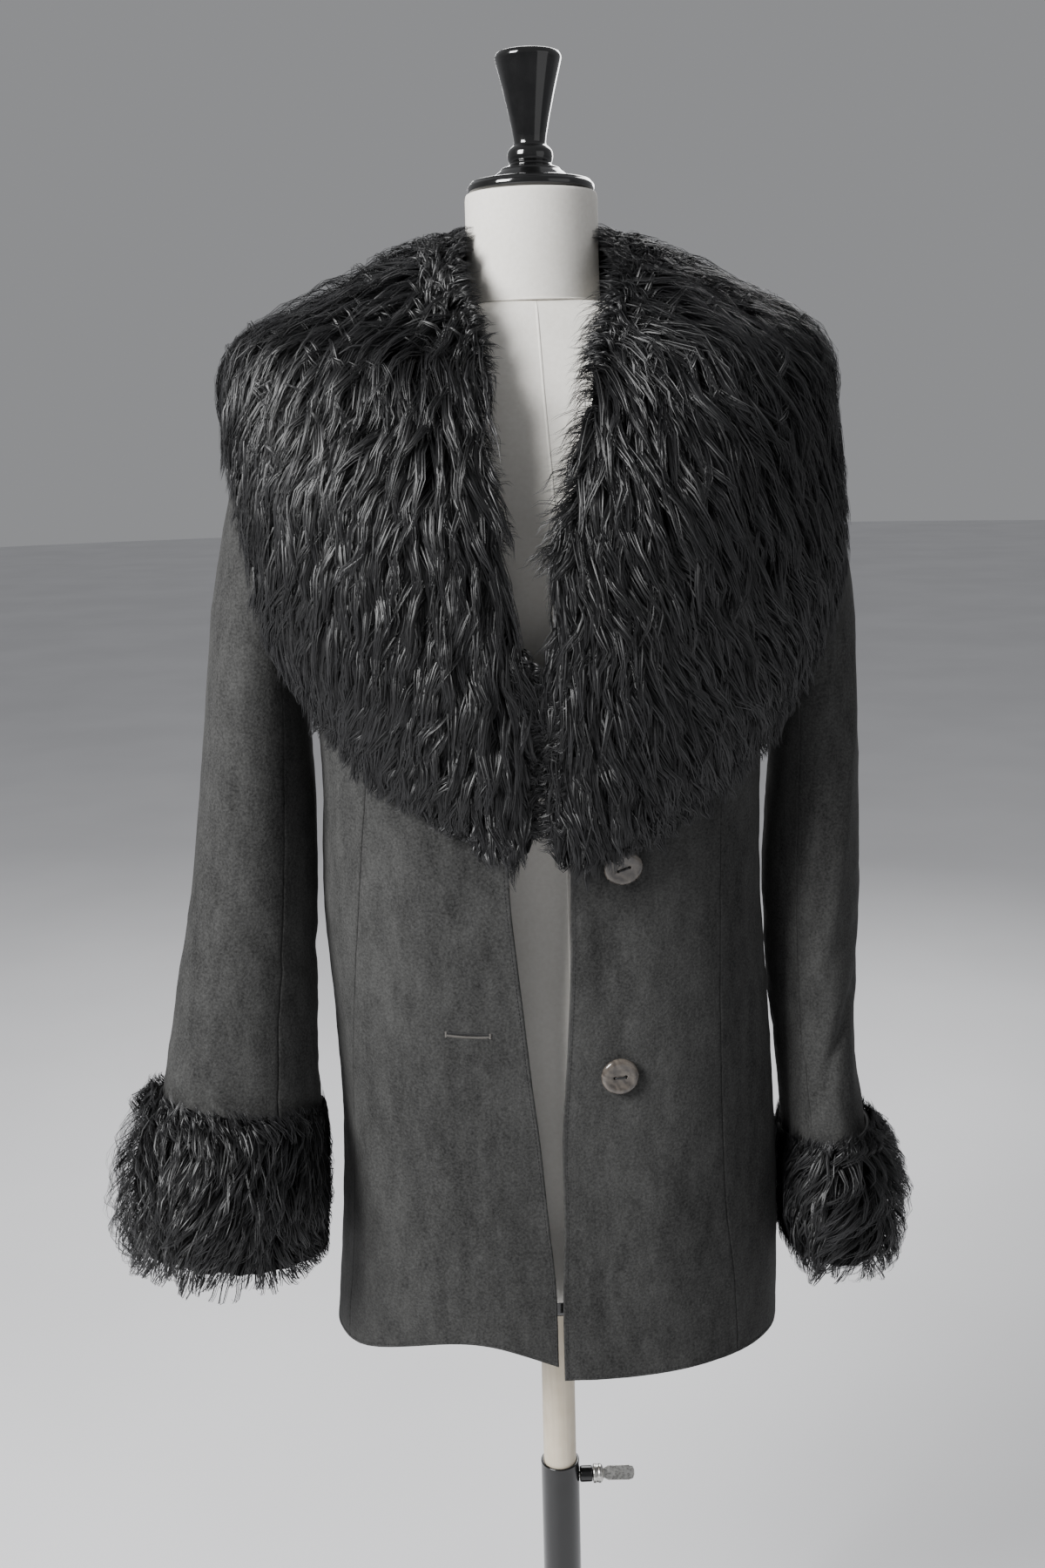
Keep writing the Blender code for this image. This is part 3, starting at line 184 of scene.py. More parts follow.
# sleeve folds: place round (0 outer, 90 front), place along, half sizes, depth, slant
SLEEVE_FOLDS_RIGHT = (
    (75.0, 0.540, 50.0, 0.022, -0.0034, 1500.0),
    (110.0, 0.600, 40.0, 0.020, 0.0022, 1200.0),
    (70.0, 0.655, 45.0, 0.020, -0.0028, 1600.0),
    (60.0, 0.730, 45.0, 0.022, 0.0024, 1300.0),
    (95.0, 0.790, 45.0, 0.020, -0.0028, 1100.0),
    (30.0, 0.300, 25.0, 0.120, -0.0030, 0.0),
    (230.0, 0.620, 60.0, 0.022, -0.0036, 900.0),
    (260.0, 0.720, 50.0, 0.022, -0.0032, -1100.0),
)
SLEEVE_FOLDS_LEFT = (
    (75.0, 0.560, 40.0, 0.050, 0.0040, 300.0),
    (60.0, 0.740, 50.0, 0.022, -0.0042, 600.0),
    (100.0, 0.810, 45.0, 0.020, -0.0030, -1100.0),
    (130.0, 0.500, 25.0, 0.120, -0.0035, 0.0),
    (250.0, 0.640, 60.0, 0.022, -0.0036, 900.0),
    (270.0, 0.760, 50.0, 0.022, -0.0032, -1100.0),
)
SLEEVE_CREASES = (
    (95.0, 0.575, 32.0, 0.0085, -0.0012, 1400.0),
    (55.0, 0.635, 28.0, 0.0080, -0.0012, 2200.0),
    (110.0, 0.665, 26.0, 0.0075, 0.0009, 1600.0),
    (75.0, 0.765, 30.0, 0.0080, -0.0012, 1500.0),
    (105.0, 0.715, 24.0, 0.0080, -0.0010, 2400.0),
    (45.0, 0.840, 26.0, 0.0090, -0.0010, 1200.0),
    (240.0, 0.600, 32.0, 0.0090, -0.0012, 1200.0),
    (280.0, 0.680, 28.0, 0.0090, -0.0012, -1500.0),
    (215.0, 0.770, 26.0, 0.0090, -0.0012, 1300.0),
    (75.0, 0.420, 20.0, 0.0300, -0.0012, 300.0),
)
SLEEVE_ENDS = {"upper": (-116.0, 124.0), "under": (124.0, 244.0)}

COLLAR = ("share", "inner_angle", "inner_height", "outer_angle", "outer_height", "fur")
COLLAR_RIGHT = (
    (0.00, 179.6, 1.460, 179.6, 1.285, 0.028),
    (0.12, 152.0, 1.460, 153.0, 1.288, 0.028),
    (0.24, 122.0, 1.460, 124.0, 1.298, 0.030),
    (0.35, 93.0, 1.460, 98.0, 1.316, 0.028),
    (0.44, 68.0, 1.435, 83.0, 1.308, 0.0235),
    (0.52, 47.0, 1.405, 74.0, 1.272, 0.024),
    (0.60, 28.0, 1.360, 70.0, 1.230, 0.027),
    (0.68, 20.0, 1.300, 67.5, 1.190, 0.029),
    (0.76, 14.0, 1.235, 63.0, 1.140, 0.029),
    (0.84, 9.0, 1.172, 55.0, 1.090, 0.028),
    (0.92, 3.0, 1.115, 45.0, 1.056, 0.026),
    (1.00, 7.0, 1.032, 30.0, 1.030, 0.022),
)
COLLAR_LEFT = (
    (0.00, 179.6, 1.460, 179.6, 1.285, 0.028),
    (0.12, 152.0, 1.460, 153.0, 1.288, 0.028),
    (0.24, 122.0, 1.460, 124.0, 1.297, 0.028),
    (0.35, 93.0, 1.460, 99.0, 1.310, 0.026),
    (0.44, 68.0, 1.432, 84.0, 1.296, 0.019),
    (0.52, 47.0, 1.400, 76.0, 1.258, 0.022),
    (0.60, 27.0, 1.350, 74.0, 1.215, 0.027),
    (0.68, 14.5, 1.290, 71.0, 1.172, 0.029),
    (0.76, 3.5, 1.225, 65.0, 1.128, 0.029),
    (0.84, 2.4, 1.165, 57.0, 1.082, 0.028),
    (0.92, 0.4, 1.105, 47.0, 1.048, 0.026),
    (1.00, 1.6, 1.030, 31.0, 1.018, 0.022),
)
CUFFS = {"right": (0.838, 1.012, 0.034, 0.034, 0.0045, 0.028),
         "left": (0.885, 1.012, 0.026, 0.028, 0.0045, 0.026)}
FORM = ("level", "half_width", "front", "back", "power")
FORM_RINGS = (
    (0.622, 0.1500, 0.0780, 0.0980, 2.3),
    (0.626, 0.1545, 0.0820, 0.1020, 2.3),
    (0.700, 0.1600, 0.0880, 0.1060, 2.3),
    (0.780, 0.1550, 0.0860, 0.1020, 2.3),
    (0.860, 0.1380, 0.0800, 0.0880, 2.2),
    (0.930, 0.1230, 0.0740, 0.0780, 2.2),
    (1.000, 0.1260, 0.0790, 0.0800, 2.2),
    (1.080, 0.1400, 0.0980, 0.0880, 2.2),
    (1.150, 0.1500, 0.1130, 0.0950, 2.2),
    (1.210, 0.1560, 0.1100, 0.1000, 2.2),
    (1.270, 0.1660, 0.0960, 0.1000, 2.2),
    (1.315, 0.1740, 0.0800, 0.0930, 2.2),
    (1.340, 0.1760, 0.0720, 0.0850, 2.2),
    (1.3592, 0.1695, 0.0650, 0.0780, 2.1),
    (1.3722, 0.1555, 0.0605, 0.0715, 2.0),
    (1.3834, 0.1325, 0.0570, 0.0650, 2.0),
    (1.3915, 0.1110, 0.0530, 0.0590, 2.0),
    (1.395, 0.0850, 0.0505, 0.0535, 2.0),
    (1.398, 0.0500, 0.0480, 0.0500, 2.0),
)


# ---- reading the tables ----------------------------------------------------------------------
def smooth(places, values, at):
    """A smooth curve through the values, read at one place or many."""
    places = np.asarray(places, dtype=float)
    values = np.asarray(values, dtype=float)
    at = np.clip(at, places[0], places[-1])
    slopes = np.gradient(values, places)
    left = np.clip(np.searchsorted(places, at, side="right") - 1, 0, len(places) - 2)
    span = places[left + 1] - places[left]
    part = (at - places[left]) / span
    rise = part * part * (3.0 - 2.0 * part)
    value = values[left] + (values[left + 1] - values[left]) * rise
    value += slopes[left] * span * part * (1.0 - part) ** 2
    return value - slopes[left + 1] * span * part * part * (1.0 - part)


def table_reader(rows, names, places=None):
    """A function that reads every column of a table by its first column, or by the places given."""
    table = {name: np.array([row[i] for row in rows], dtype=float) for i, name in enumerate(names)}
    key = table[names[0]] if places is None else places
    return lambda name, at: smooth(key, table[name], at)


read_body = table_reader(BODY_RINGS, RING)
read_bed = table_reader(BED_RINGS, RING)
read_edge = table_reader(EDGE_ROWS, EDGE)
read_form = table_reader(FORM_RINGS, FORM)


def bump(offset, half_size):
    """A soft bell, 1 in its middle and nearly 0 at twice the half size."""
    return np.exp(-(offset / half_size) ** 2)


def plan_radius(angle, half_width, depth, power):
    across = np.abs(np.sin(angle)) / half_width
    along = np.abs(np.cos(angle)) / depth
    return (across ** power + along ** power) ** (-1.0 / power)


def ring_surface(read, degrees, level):
    angle = np.radians(degrees)
    half_width = np.where(np.sin(angle) < 0.0, read("right", level), read("left", level))
    front = np.cos(angle) > 0.0
    depth = np.where(front, read("front", level), read("back", level))
    drop = np.where(front, read("front_drop", level), read("back_drop", level))
    radius = plan_radius(angle, half_width, depth, read("power", level))
    height = level - drop * np.cos(angle) ** 2
    return np.stack((radius * np.sin(angle), -radius * np.cos(angle), height), axis=-1)


def unit(vector):
    return vector / np.maximum(np.linalg.norm(vector, axis=-1, keepdims=True), 1e-12)


def ring_normals(read, degrees, level):
    across = ring_surface(read, degrees + 0.5, level) - ring_surface(read, degrees - 0.5, level)
    upward = ring_surface(read, degrees, level + 0.002) - ring_surface(read, degrees, level - 0.002)
    return unit(np.cross(across, upward))


def ripple(point, size, seed):
    """Gentle unevenness, about -1 to 1, of about the given size in metres."""
    turn = np.random.default_rng(seed)
    total = np.zeros(point.shape[:-1])
    for step in range(6):
        direction = unit(turn.normal(size=3))
        wave = 2.0 * math.pi / (size * (0.6 + 0.9 * turn.random()))
        start = 6.28 * turn.random()
        total += np.sin(point @ direction * wave + start + 1.3 * np.sin(point[..., 2] * wave * 0.7 + step))
    return total / 3.0


# ---- the body's panels -----------------------------------------------------------------------
def body_surface(degrees, level, creases=()):
    point = ring_surface(read_body, degrees, level)
    fade = np.clip((0.80 - level) / (0.80 - HEM_LEVEL), 0.0, 1.0)
    point[..., 2] += np.where(degrees < 0.0, 0.031 * bump(degrees + 34.0, 34.0) * fade, 0.0)
    height = np.zeros_like(level)
    for angle, middle, half_width, half_length, depth, slant in BODY_FOLDS + tuple(creases):
        turn = (degrees - angle - slant * (level - middle) + 180.0) % 360.0 - 180.0
        height = height + depth * bump(turn, half_width) * bump(level - middle, half_length)
    outward = np.stack((np.sin(np.radians(degrees)), -np.cos(np.radians(degrees)), 0.0 * level), axis=-1)
    return point + outward * height[..., None]


def on_body(degrees, level, lift=0.0):
    """Points on the creased, slightly uneven suede at plan angles and levels, and the normals there."""
    point = body_surface(degrees, level, BODY_CREASES)
    normal = ring_normals(read_body, degrees, level)
    point = point + normal * (0.00035 * ripple(point, 0.060, 4) + 0.00012 * ripple(point, 0.018, 5))[..., None]
    return point + lift * normal, normal


def edge_angle(x, level):
    half_width = np.where(x < 0.0, read_body("right", level), read_body("left", level))
    power = read_body("power", level)
    depth = read_body("front", level) * (1.0 - (np.abs(x) / half_width) ** power) ** (1.0 / power)
    return np.degrees(np.arctan2(x, depth))


def armhole_half_angle(level):
    middle = 0.5 * (UNDERARM_LEVEL + SHOULDER_LEVEL)
    part = np.clip((level - middle) / (0.5 * (SHOULDER_LEVEL - UNDERARM_LEVEL)), -1.0, 1.0)
    return ARMHOLE_SPREAD * np.sqrt(1.0 - part * part)


def side_border(side, turn):
    return lambda level: side * (90.0 + turn * armhole_half_angle(level))


def front_border(side):
    name = "right_edge" if side < 0 else "left_edge"
    return lambda level: edge_angle(read_edge(name, level), level)


def princess_border(side):
    name = "right_princess" if side < 0 else "left_princess"
    return lambda level: read_edge(name, level)


def centre_back(side):
    return lambda level: level * 0.0 + 180.0 * side


# ---- meshes ----------------------------------------------------------------------------------
def make_mesh(name, points, faces, material):
    """A mesh object from arrays; faces is an array of quads or of triangles, or a list of both."""
    mesh = bpy.data.meshes.new(name)
    blocks = [np.asarray(block) for block in (faces if isinstance(faces, list) else [faces]) if len(block)]
    points = np.asarray(points, dtype=np.float32).reshape(-1, 3)
    mesh.vertices.add(len(points))
    mesh.vertices.foreach_set("co", points.ravel())
    corners = np.concatenate([block.ravel() for block in blocks]).astype(np.int32)
    sizes = np.concatenate([np.full(len(block), block.shape[1]) for block in blocks]).astype(np.int32)
    starts = np.concatenate(([0], np.cumsum(sizes)[:-1])).astype(np.int32)
    mesh.loops.add(len(corners))
    mesh.loops.foreach_set("vertex_index", corners)
    mesh.polygons.add(len(sizes))
    mesh.polygons.foreach_set("loop_start", starts)
    mesh.polygons.foreach_set("loop_total", sizes)
    mesh.update(calc_edges=True)
    mesh.materials.append(material)
    mesh.shade_smooth()
    piece = bpy.data.objects.new(name, mesh)
    bpy.context.scene.collection.objects.link(piece)
    return piece


def grid_quads(rows, columns, wrap=False, start=0):
    """Quads of a grid of points that is stored row by row."""
    row, col = np.meshgrid(np.arange(rows - 1), np.arange(columns if wrap else columns - 1), indexing="ij")
    after = (col + 1) % columns
    a = start + row * columns + col
    b = start + row * columns + after
    return np.stack((a, b, b + columns, a + columns), axis=-1).reshape(-1, 4)


def wall(name, outer, inner, material, wrap=False):
    """A closed thin shell between an outer and an inner grid of points, faces outward."""
    rows, columns = outer.shape[:2]
    shift = rows * columns
    quads = [grid_quads(rows, columns, wrap), grid_quads(rows, columns, wrap, shift)[:, ::-1]]
    first = np.arange(columns if wrap else columns - 1)
    after = (first + 1) % columns
    quads.append(np.stack((first, first + shift, after + shift, after), axis=-1))
    low = (rows - 1) * columns
    quads.append(np.stack((low + first, low + after, low + after + shift, low + first + shift), axis=-1))
    if not wrap:
        near = np.arange(rows - 1) * columns
        quads.append(np.stack((near, near + columns, near + columns + shift, near + shift), axis=-1))
        far = near + columns - 1
        quads.append(np.stack((far, far + shift, far + columns + shift, far + columns), axis=-1))
    quads = np.concatenate(quads)
    points = np.concatenate((outer.reshape(-1, 3), inner.reshape(-1, 3)))
    middle = 0.5 * (outer + inner).reshape(-1, 3)
    quad = quads[len(first) // 2]
    normal = np.cross(points[quad[1]] - points[quad[0]], points[quad[3]] - points[quad[0]])
    if np.dot(normal, points[quad[0]] - middle[quad[0]]) < 0.0:
        quads = quads[:, ::-1]
    return make_mesh(name, points, quads, material)


def end_fans(rows, columns):
    """Triangles that close both ends of a ringed grid with the two points stored after it."""
    first = np.arange(columns)
    after = (first + 1) % columns
    last, total = (rows - 1) * columns, rows * columns
    return np.concatenate((np.stack((after, first, np.full(columns, total)), axis=-1),
                           np.stack((last + first, last + after, np.full(columns, total + 1)), axis=-1)))


def pick(piece):
    """Select one piece alone and make it the active one."""
    for other in bpy.context.selected_objects:
        other.select_set(False)
    bpy.context.view_layer.objects.active = piece
    piece.select_set(True)


def turn_outward(piece):
    """Recalculate the normals so that every closed shell of a piece faces outward."""
    pick(piece)
    bpy.ops.object.mode_set(mode="EDIT")
    bpy.ops.mesh.select_all(action="SELECT")
    bpy.ops.mesh.normals_make_consistent(inside=False)
    bpy.ops.object.mode_set(mode="OBJECT")
    piece.select_set(False)


def capped(name, rings, ends, material):
    """A closed body through rings of points, drawn in to a point at both ends."""
    rings = np.asarray(rings)
    rows, columns = rings.shape[:2]
    points = np.concatenate((rings.reshape(-1, 3), ends))
    piece = make_mesh(name, points, [grid_quads(rows, columns, wrap=True), end_fans(rows, columns)], material)
    turn_outward(piece)
    return piece


def belong(piece, body, node=None):
    """Put a piece on the body that it rides on, and hide the CAD node that it stands for."""
    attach(piece, body)
    if node:
        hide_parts(node)
    return piece


def declare_sheet(piece, node):
    belong(piece, "form", node)


def near_edge(distance, radius=0.0014, groove=0.0):
    """How far the surface lies back near a cut or turned edge; groove is the dent of the topstitch."""
    inside = np.clip(distance / radius, 0.0, 1.0)
    roll = 0.5 * WALL * (1.0 - np.sqrt(np.maximum(1.0 - (1.0 - inside) ** 2, 0.0)))
    return roll + groove * bump(distance - 0.0030, 0.0009)


EDGE_STEPS = np.array((0.0, 0.0004, 0.0012, 0.0021, 0.0030, 0.0040))


def spaced(length, step, first=True, last=True):
    """Places from 0 to 1 along a length, dense near the ends."""
    start = EDGE_STEPS if first else np.array((0.0,))
    finish = length - EDGE_STEPS[::-1] if last else np.array((length,))
    count = max(2, int((finish[0] - start[-1]) / step))
    middle = np.linspace(start[-1], finish[0], count + 1)[1:-1]
    return np.concatenate((start, middle, finish)) / length


def body_levels():
    height = UNDERARM_LEVEL - 0.02 - HEM_LEVEL
    skirt = HEM_LEVEL + spaced(height, 0.0075, last=False) * height
    middle = 0.5 * (UNDERARM_LEVEL + SHOULDER_LEVEL)
    half = 0.5 * (SHOULDER_LEVEL - UNDERARM_LEVEL)
    armhole = middle - half * np.cos(np.linspace(0.0, math.pi, 38))
    shoulder = np.linspace(SHOULDER_LEVEL, NECK_LEVEL, 12)[1:]
    return np.concatenate((skirt[:-1], np.linspace(UNDERARM_LEVEL - 0.02, UNDERARM_LEVEL, 5)[:-1], armhole, shoulder))


def edge_distances(points):
    """How far each point of a grid lies from its first and from its last column, along the row."""
    steps = np.linalg.norm(np.diff(points, axis=1), axis=-1)
    from_first = np.concatenate((np.zeros((len(points), 1)), np.cumsum(steps, axis=1)), axis=1)
    return from_first, from_first[:, -1:] - from_first


def body_panel(name, first_border, second_border, width, grooves=(0.0, 0.0)):
    """A panel of the body; width is about how wide it is, grooves are for topstitched front edges."""
    levels = body_levels()
    gap = np.degrees(0.5 * SEAM_GAP / 0.12)
    low = first_border(levels) + gap
    high = second_border(levels) - gap
    share = spaced(width, 0.0078)
    degrees = low[:, None] + (high - low)[:, None] * share[None, :]
    level = np.repeat(levels[:, None], len(share), axis=1)
    outer, normal = on_body(degrees, level)
    from_first, from_last = edge_distances(outer)
    back = np.maximum.reduce((near_edge(from_first, groove=grooves[0]), near_edge(from_last, groove=grooves[1]),
                              near_edge(level - HEM_LEVEL, groove=STITCH_GROOVE)))
    inner = outer - WALL * normal
    front_side = outer - back[..., None] * normal
    rear = inner + np.minimum(back, 0.5 * WALL - 0.0001)[..., None] * normal
    panel = wall(name, front_side, rear, SUEDE)
    declare_sheet(panel, name.replace("suede_", "jacket_"))


# ---- sleeves ---------------------------------------------------------------------------------
def sleeve_surface(rows, folds, side):
    places = np.linspace(0.0, 1.0, len(rows) + 1)[1:]
    read = table_reader(rows, SLEEVE, places)
    middle_level = 0.5 * (UNDERARM_LEVEL + SHOULDER_LEVEL)
    half_height = 0.5 * (SHOULDER_LEVEL - UNDERARM_LEVEL) + HEAD_OVERLAP
    half_angle = ARMHOLE_SPREAD + np.degrees(HEAD_OVERLAP / BODY_HALF_WIDTH)

    def armhole_point(angle, inset):
        level = middle_level + (half_height - inset) * np.cos(angle)
        spread = half_angle - np.degrees(inset / BODY_HALF_WIDTH)
        degrees = side * (90.0 - spread * np.sin(angle))
        point = ring_surface(read_body, degrees, level)
        return point + ARMHOLE_LIFT * ring_normals(read_body, degrees, level)

    def tube_point(angle, along):
        mid_x = 0.5 * (read("outer_x", along) + read("inner_x", along))
        mid_z = 0.5 * (read("outer_z", along) + read("inner_z", along))
        half_x = 0.5 * (read("outer_x", along) - read("inner_x", along))
        half_z = 0.5 * (read("outer_z", along) - read("inner_z", along))
        x = side * (mid_x + half_x * np.cos(angle))
        y = read("middle_y", along) - read("half_depth", along) * np.sin(angle)
        z = mid_z + half_z * np.cos(angle) + WRIST_FRONT_RISE * np.sin(angle) * along ** 3
        return np.stack((x, y, z), axis=-1)

    def surface(degrees, along, inset=0.0, creases=()):
        angle = np.radians(degrees)
        share = np.clip(along / places[1], 0.0, 1.0)[..., None]
        share = share * share * (3.0 - 2.0 * share)
        point = (1.0 - share) * armhole_point(angle, inset) + share * tube_point(angle, along)
        height = np.zeros_like(along)
        for angle_at, place, half_width, half_length, depth, slant in folds + tuple(creases):
            turn = (degrees - angle_at + 180.0) % 360.0 - 180.0
            shift = along - place - turn / slant if slant else along - place
            height = height + depth * bump(turn, half_width) * bump(shift, half_length)
        outward = np.stack((side * np.cos(angle), -np.sin(angle), np.zeros_like(along)), axis=-1)
        return point + outward * height[..., None]

    return surface


def sleeve_normals(surface, degrees, along):
    around = surface(degrees + 2.0, along) - surface(degrees - 2.0, along)
    down = surface(degrees, np.minimum(along + 0.01, 1.0)) - surface(degrees, along - 0.01)
    normal = np.cross(around, down)
    away = np.sum(normal * (surface(degrees, along) - surface(degrees + 180.0, along)), axis=-1, keepdims=True)
    return unit(normal * np.sign(away))


def sleeve_piece(name, surface, ends, seed):
    first, last = ends
    gap = np.degrees(0.5 * SEAM_GAP / 0.050)
    head = np.linspace(0.0, 0.12, 14)
    places = np.concatenate((head, np.linspace(0.12, 1.0, 92)[1:]))
    around = first + gap + (last - first - 2.0 * gap) * spaced(0.055 * math.radians(last - first), 0.0066)
    degrees = np.repeat(around[None, :], len(places), axis=0)
    along = np.repeat(places[:, None], len(around), axis=1)
    outer = surface(degrees, along, 0.0, SLEEVE_CREASES)
    normal = sleeve_normals(surface, degrees, along)
    past_head = np.clip(along / 0.05, 0.0, 1.0)[..., None]
    uneven = 0.0004 * ripple(outer, 0.050, seed) + 0.00015 * ripple(outer, 0.016, seed + 1)
    outer += normal * past_head * uneven[..., None]
    inner = past_head * (outer - WALL * normal) + (1.0 - past_head) * surface(degrees, along, WALL)
    from_first, from_last = edge_distances(outer)
    back = np.maximum(near_edge(from_first), near_edge(from_last))[..., None]
    panel = wall(name, outer - back * past_head * normal, inner + np.minimum(back, 0.0009) * past_head * normal, SUEDE)
    declare_sheet(panel, name.replace("suede_", ""))


# ---- fur -------------------------------------------------------------------------------------
def sample(grid, u, v):
    """Read a grid at places u, v from 0 to 1; u runs along its rows."""
    rows, columns = grid.shape[:2]
    a = np.clip(u, 0.0, 1.0) * (rows - 1)
    b = np.clip(v, 0.0, 1.0) * (columns - 1)
    row = np.minimum(a.astype(int), rows - 2)
    col = np.minimum(b.astype(int), columns - 2)
    s = (a - row)[..., None]
    t = (b - col)[..., None]
    flat = grid.reshape(rows, columns, -1)
    low = flat[row, col] * (1.0 - t) + flat[row, col + 1] * t
    high = flat[row + 1, col] * (1.0 - t) + flat[row + 1, col + 1] * t
    return low * (1.0 - s) + high * s


class Pelt:
    """A pelt as grids: the skin, its normals, how deep the fur stands, and how u and v run in metres."""

    def __init__(self, skin, normal, depth, wrap=False):
        self.skin, self.normal, self.depth, self.wrap = skin, normal, depth[..., None], wrap
        rows, columns = skin.shape[:2]
        self.along = np.gradient(skin, axis=0) * (rows - 1)
        self.across = np.gradient(skin, axis=1) * (columns - 1)
        if not wrap:
            # past the neck edge the pelt is carried on straight, along the chord of its first quarter
            quarter = (columns - 1) // 4
            self.across[:, :quarter] = (skin[:, quarter:quarter + 1] - skin[:, :1]) * (columns - 1) / quarter

    def at(self, u, v):
        if self.wrap:
            v = v % 1.0
        past_u = u - np.clip(u, 0.0, 1.0)
        past_v = v - np.clip(v, 0.0, 1.0)
        point = sample(self.skin, u, v)
        point = point + sample(self.along, u, v) * past_u[..., None] + sample(self.across, u, v) * past_v[..., None]
        return point, unit(sample(self.normal, u, v)), sample(self.depth, u, v)[..., 0]

    def over_edge(self, u, v):
        """How far, in metres, a place lies past the edge of the pelt."""
        past_u = u - np.clip(u, 0.0, 1.0)
        past_v = 0.0 * v if self.wrap else v - np.clip(v, 0.0, 1.0)
        place_v = v % 1.0 if self.wrap else v
        reach = sample(self.along, u, place_v) * past_u[..., None] + sample(self.across, u, place_v) * past_v[..., None]
        return np.linalg.norm(reach, axis=-1)

    def step(self, u, v, direction, distance):
        """Move in the direction of a 3-D vector, measured along the skin."""
        place_v = v % 1.0 if self.wrap else v
        a = sample(self.along, u, place_v)
        b = sample(self.across, u, place_v)
        aa, ab, bb = (a * a).sum(-1), (a * b).sum(-1), (b * b).sum(-1)
        da, db = (a * direction).sum(-1), (b * direction).sum(-1)
        det = np.maximum(aa * bb - ab * ab, 1e-10)
        du = (da * bb - db * ab) / det
        dv = (db * aa - da * ab) / det
        size = np.linalg.norm(a * du[..., None] + b * dv[..., None], axis=-1)
        scale = distance / np.maximum(size, 1e-6)
        most_u = 1.5 * distance / np.sqrt(np.maximum(aa, 1e-8))
        most_v = 1.5 * distance / np.sqrt(np.maximum(bb, 1e-8))
        return u + np.clip(du * scale, -most_u, most_u), v + np.clip(dv * scale, -most_v, most_v)


def grow_locks(pelt, roots, flow, length, stand, per_lock, width, spread, seed, past, wave, steps=4):
    """Strands of fur that taper to a point and gather in wavy locks.  roots is (u, v) of each lock, past is how
    far a lock may reach over the edge of the pelt, and wave how far it swings from side to side."""
    turn = np.random.default_rng(seed)
    u, v = roots
    count = len(u)
    samples = steps + 1
    path_u, path_v = np.zeros((samples, count)), np.zeros((samples, count))
    path_u[0], path_v[0] = u, v
    wander = turn.normal(0.0, 0.15, count)
    for again in range(2):
        for k in range(steps):
            point, normal, _ = pelt.at(path_u[k], path_v[k])
            direction = flow(path_u[k], path_v[k], point, normal)
            side = np.cross(normal, direction)
            swing = wander + 0.20 * np.sin(1.1 * k + 9.0 * wander)
            direction = unit(direction + side * swing[:, None])
            path_u[k + 1], path_v[k + 1] = pelt.step(path_u[k], path_v[k], direction, length / steps)
        if not again:
            over = pelt.over_edge(path_u, path_v) > past * turn.uniform(0.15, 1.0, count)[None, :]
            reached = np.where(over.any(axis=0), over.argmax(axis=0), samples) / samples
            length = length * np.clip(reached, 0.30, 1.0)
    t = np.linspace(0.0, 1.0, samples)[:, None]
    point, normal, depth = pelt.at(path_u, path_v)
    high = stand * np.clip(1.0 + 0.20 * turn.normal(size=count), 0.45, 1.30)[None, :]
    rise = 0.40 + 0.58 * np.sin(math.pi * np.clip(0.08 + 0.78 * t, 0.0, 0.5))
    tip_drop = 1.0 - 0.30 * t ** 3
    centre = point + normal * (depth * high * rise * tip_drop)[..., None]
    tangent = unit(np.gradient(centre, axis=0))
    side = unit(np.cross(normal, tangent))
    above = unit(np.cross(tangent, side))
    phase = turn.uniform(0.0, 6.283, count)
    swing = wave * np.sin(2.0 * math.pi * t * length[None, :] / 0.034 + phase[None, :]) * np.minimum(2.2 * t, 1.0)
    centre = centre + side * swing[..., None]
    # each strand: its own offset at the root, drawn in towards the tip of the lock
    total = count * per_lock
    lock = np.repeat(np.arange(count), per_lock)
    radius = spread * np.sqrt(turn.random(total))
    bearing = turn.uniform(0.0, 6.283, total)
    off_side = radius * np.cos(bearing)
    off_above = 0.55 * radius * np.sin(bearing)
    draw = 1.0 - 0.80 * t ** 1.25
    own = 0.0007 * np.sin(2.0 * math.pi * t * 2.1 + turn.uniform(0.0, 6.283, total)[None, :]) * t
    stretch = turn.uniform(0.72, 1.08, total)
    place = np.clip(t * stretch[None, :], 0.0, 1.0) * steps
    low = np.minimum(place.astype(int), steps - 1)
    part = (place - low)[..., None]

    def along_lock(values):
        return values[low, lock[None, :]] * (1.0 - part) + values[low + 1, lock[None, :]] * part

    strand_side = unit(along_lock(side))
    strand_above = unit(along_lock(above))
    line = along_lock(centre)
    line = line + strand_side * (off_side[None, :] * draw + own)[..., None]
    line = line + strand_above * (off_above[None, :] * draw)[..., None]
    roll = turn.uniform(-0.55, 0.55, total)[None, :, None] + 0.4 * (t[..., None] - 0.5)
    flat = strand_side * np.cos(roll) + strand_above * np.sin(roll)
    half = 0.5 * width * turn.uniform(0.65, 1.25, total)[None, :] * (1.0 - 0.88 * t ** 1.6)
    left = line[:-1] - flat[:-1] * half[:-1, :, None]
    right = line[:-1] + flat[:-1] * half[:-1, :, None]
    tip = line[-1:]
    rings = np.stack((left, right), axis=1).reshape(2 * steps, total, 3)
    points = np.concatenate((rings, tip), axis=0).transpose(1, 0, 2).reshape(-1, 3)
    per = 2 * steps + 1
    base = (np.arange(total) * per)[:, None, None]
    quads = np.array([[2 * k, 2 * k + 1, 2 * k + 3, 2 * k + 2] for k in range(steps - 1)])
    quads = (base + quads[None]).reshape(-1, 4)
    tips = (base[:, 0] + np.array([2 * steps - 2, 2 * steps - 1, 2 * steps])[None]).reshape(-1, 3)
    patch = 1.1 * ripple(centre[0], 0.060, 71)
    tone = np.repeat((turn.normal(size=count) * 0.5 + patch)[lock] + turn.normal(size=total) * 0.5, per)
    share = np.tile(np.append(np.repeat(t[:-1, 0], 2), 1.0), total)
    return points, quads, tips, tone, share


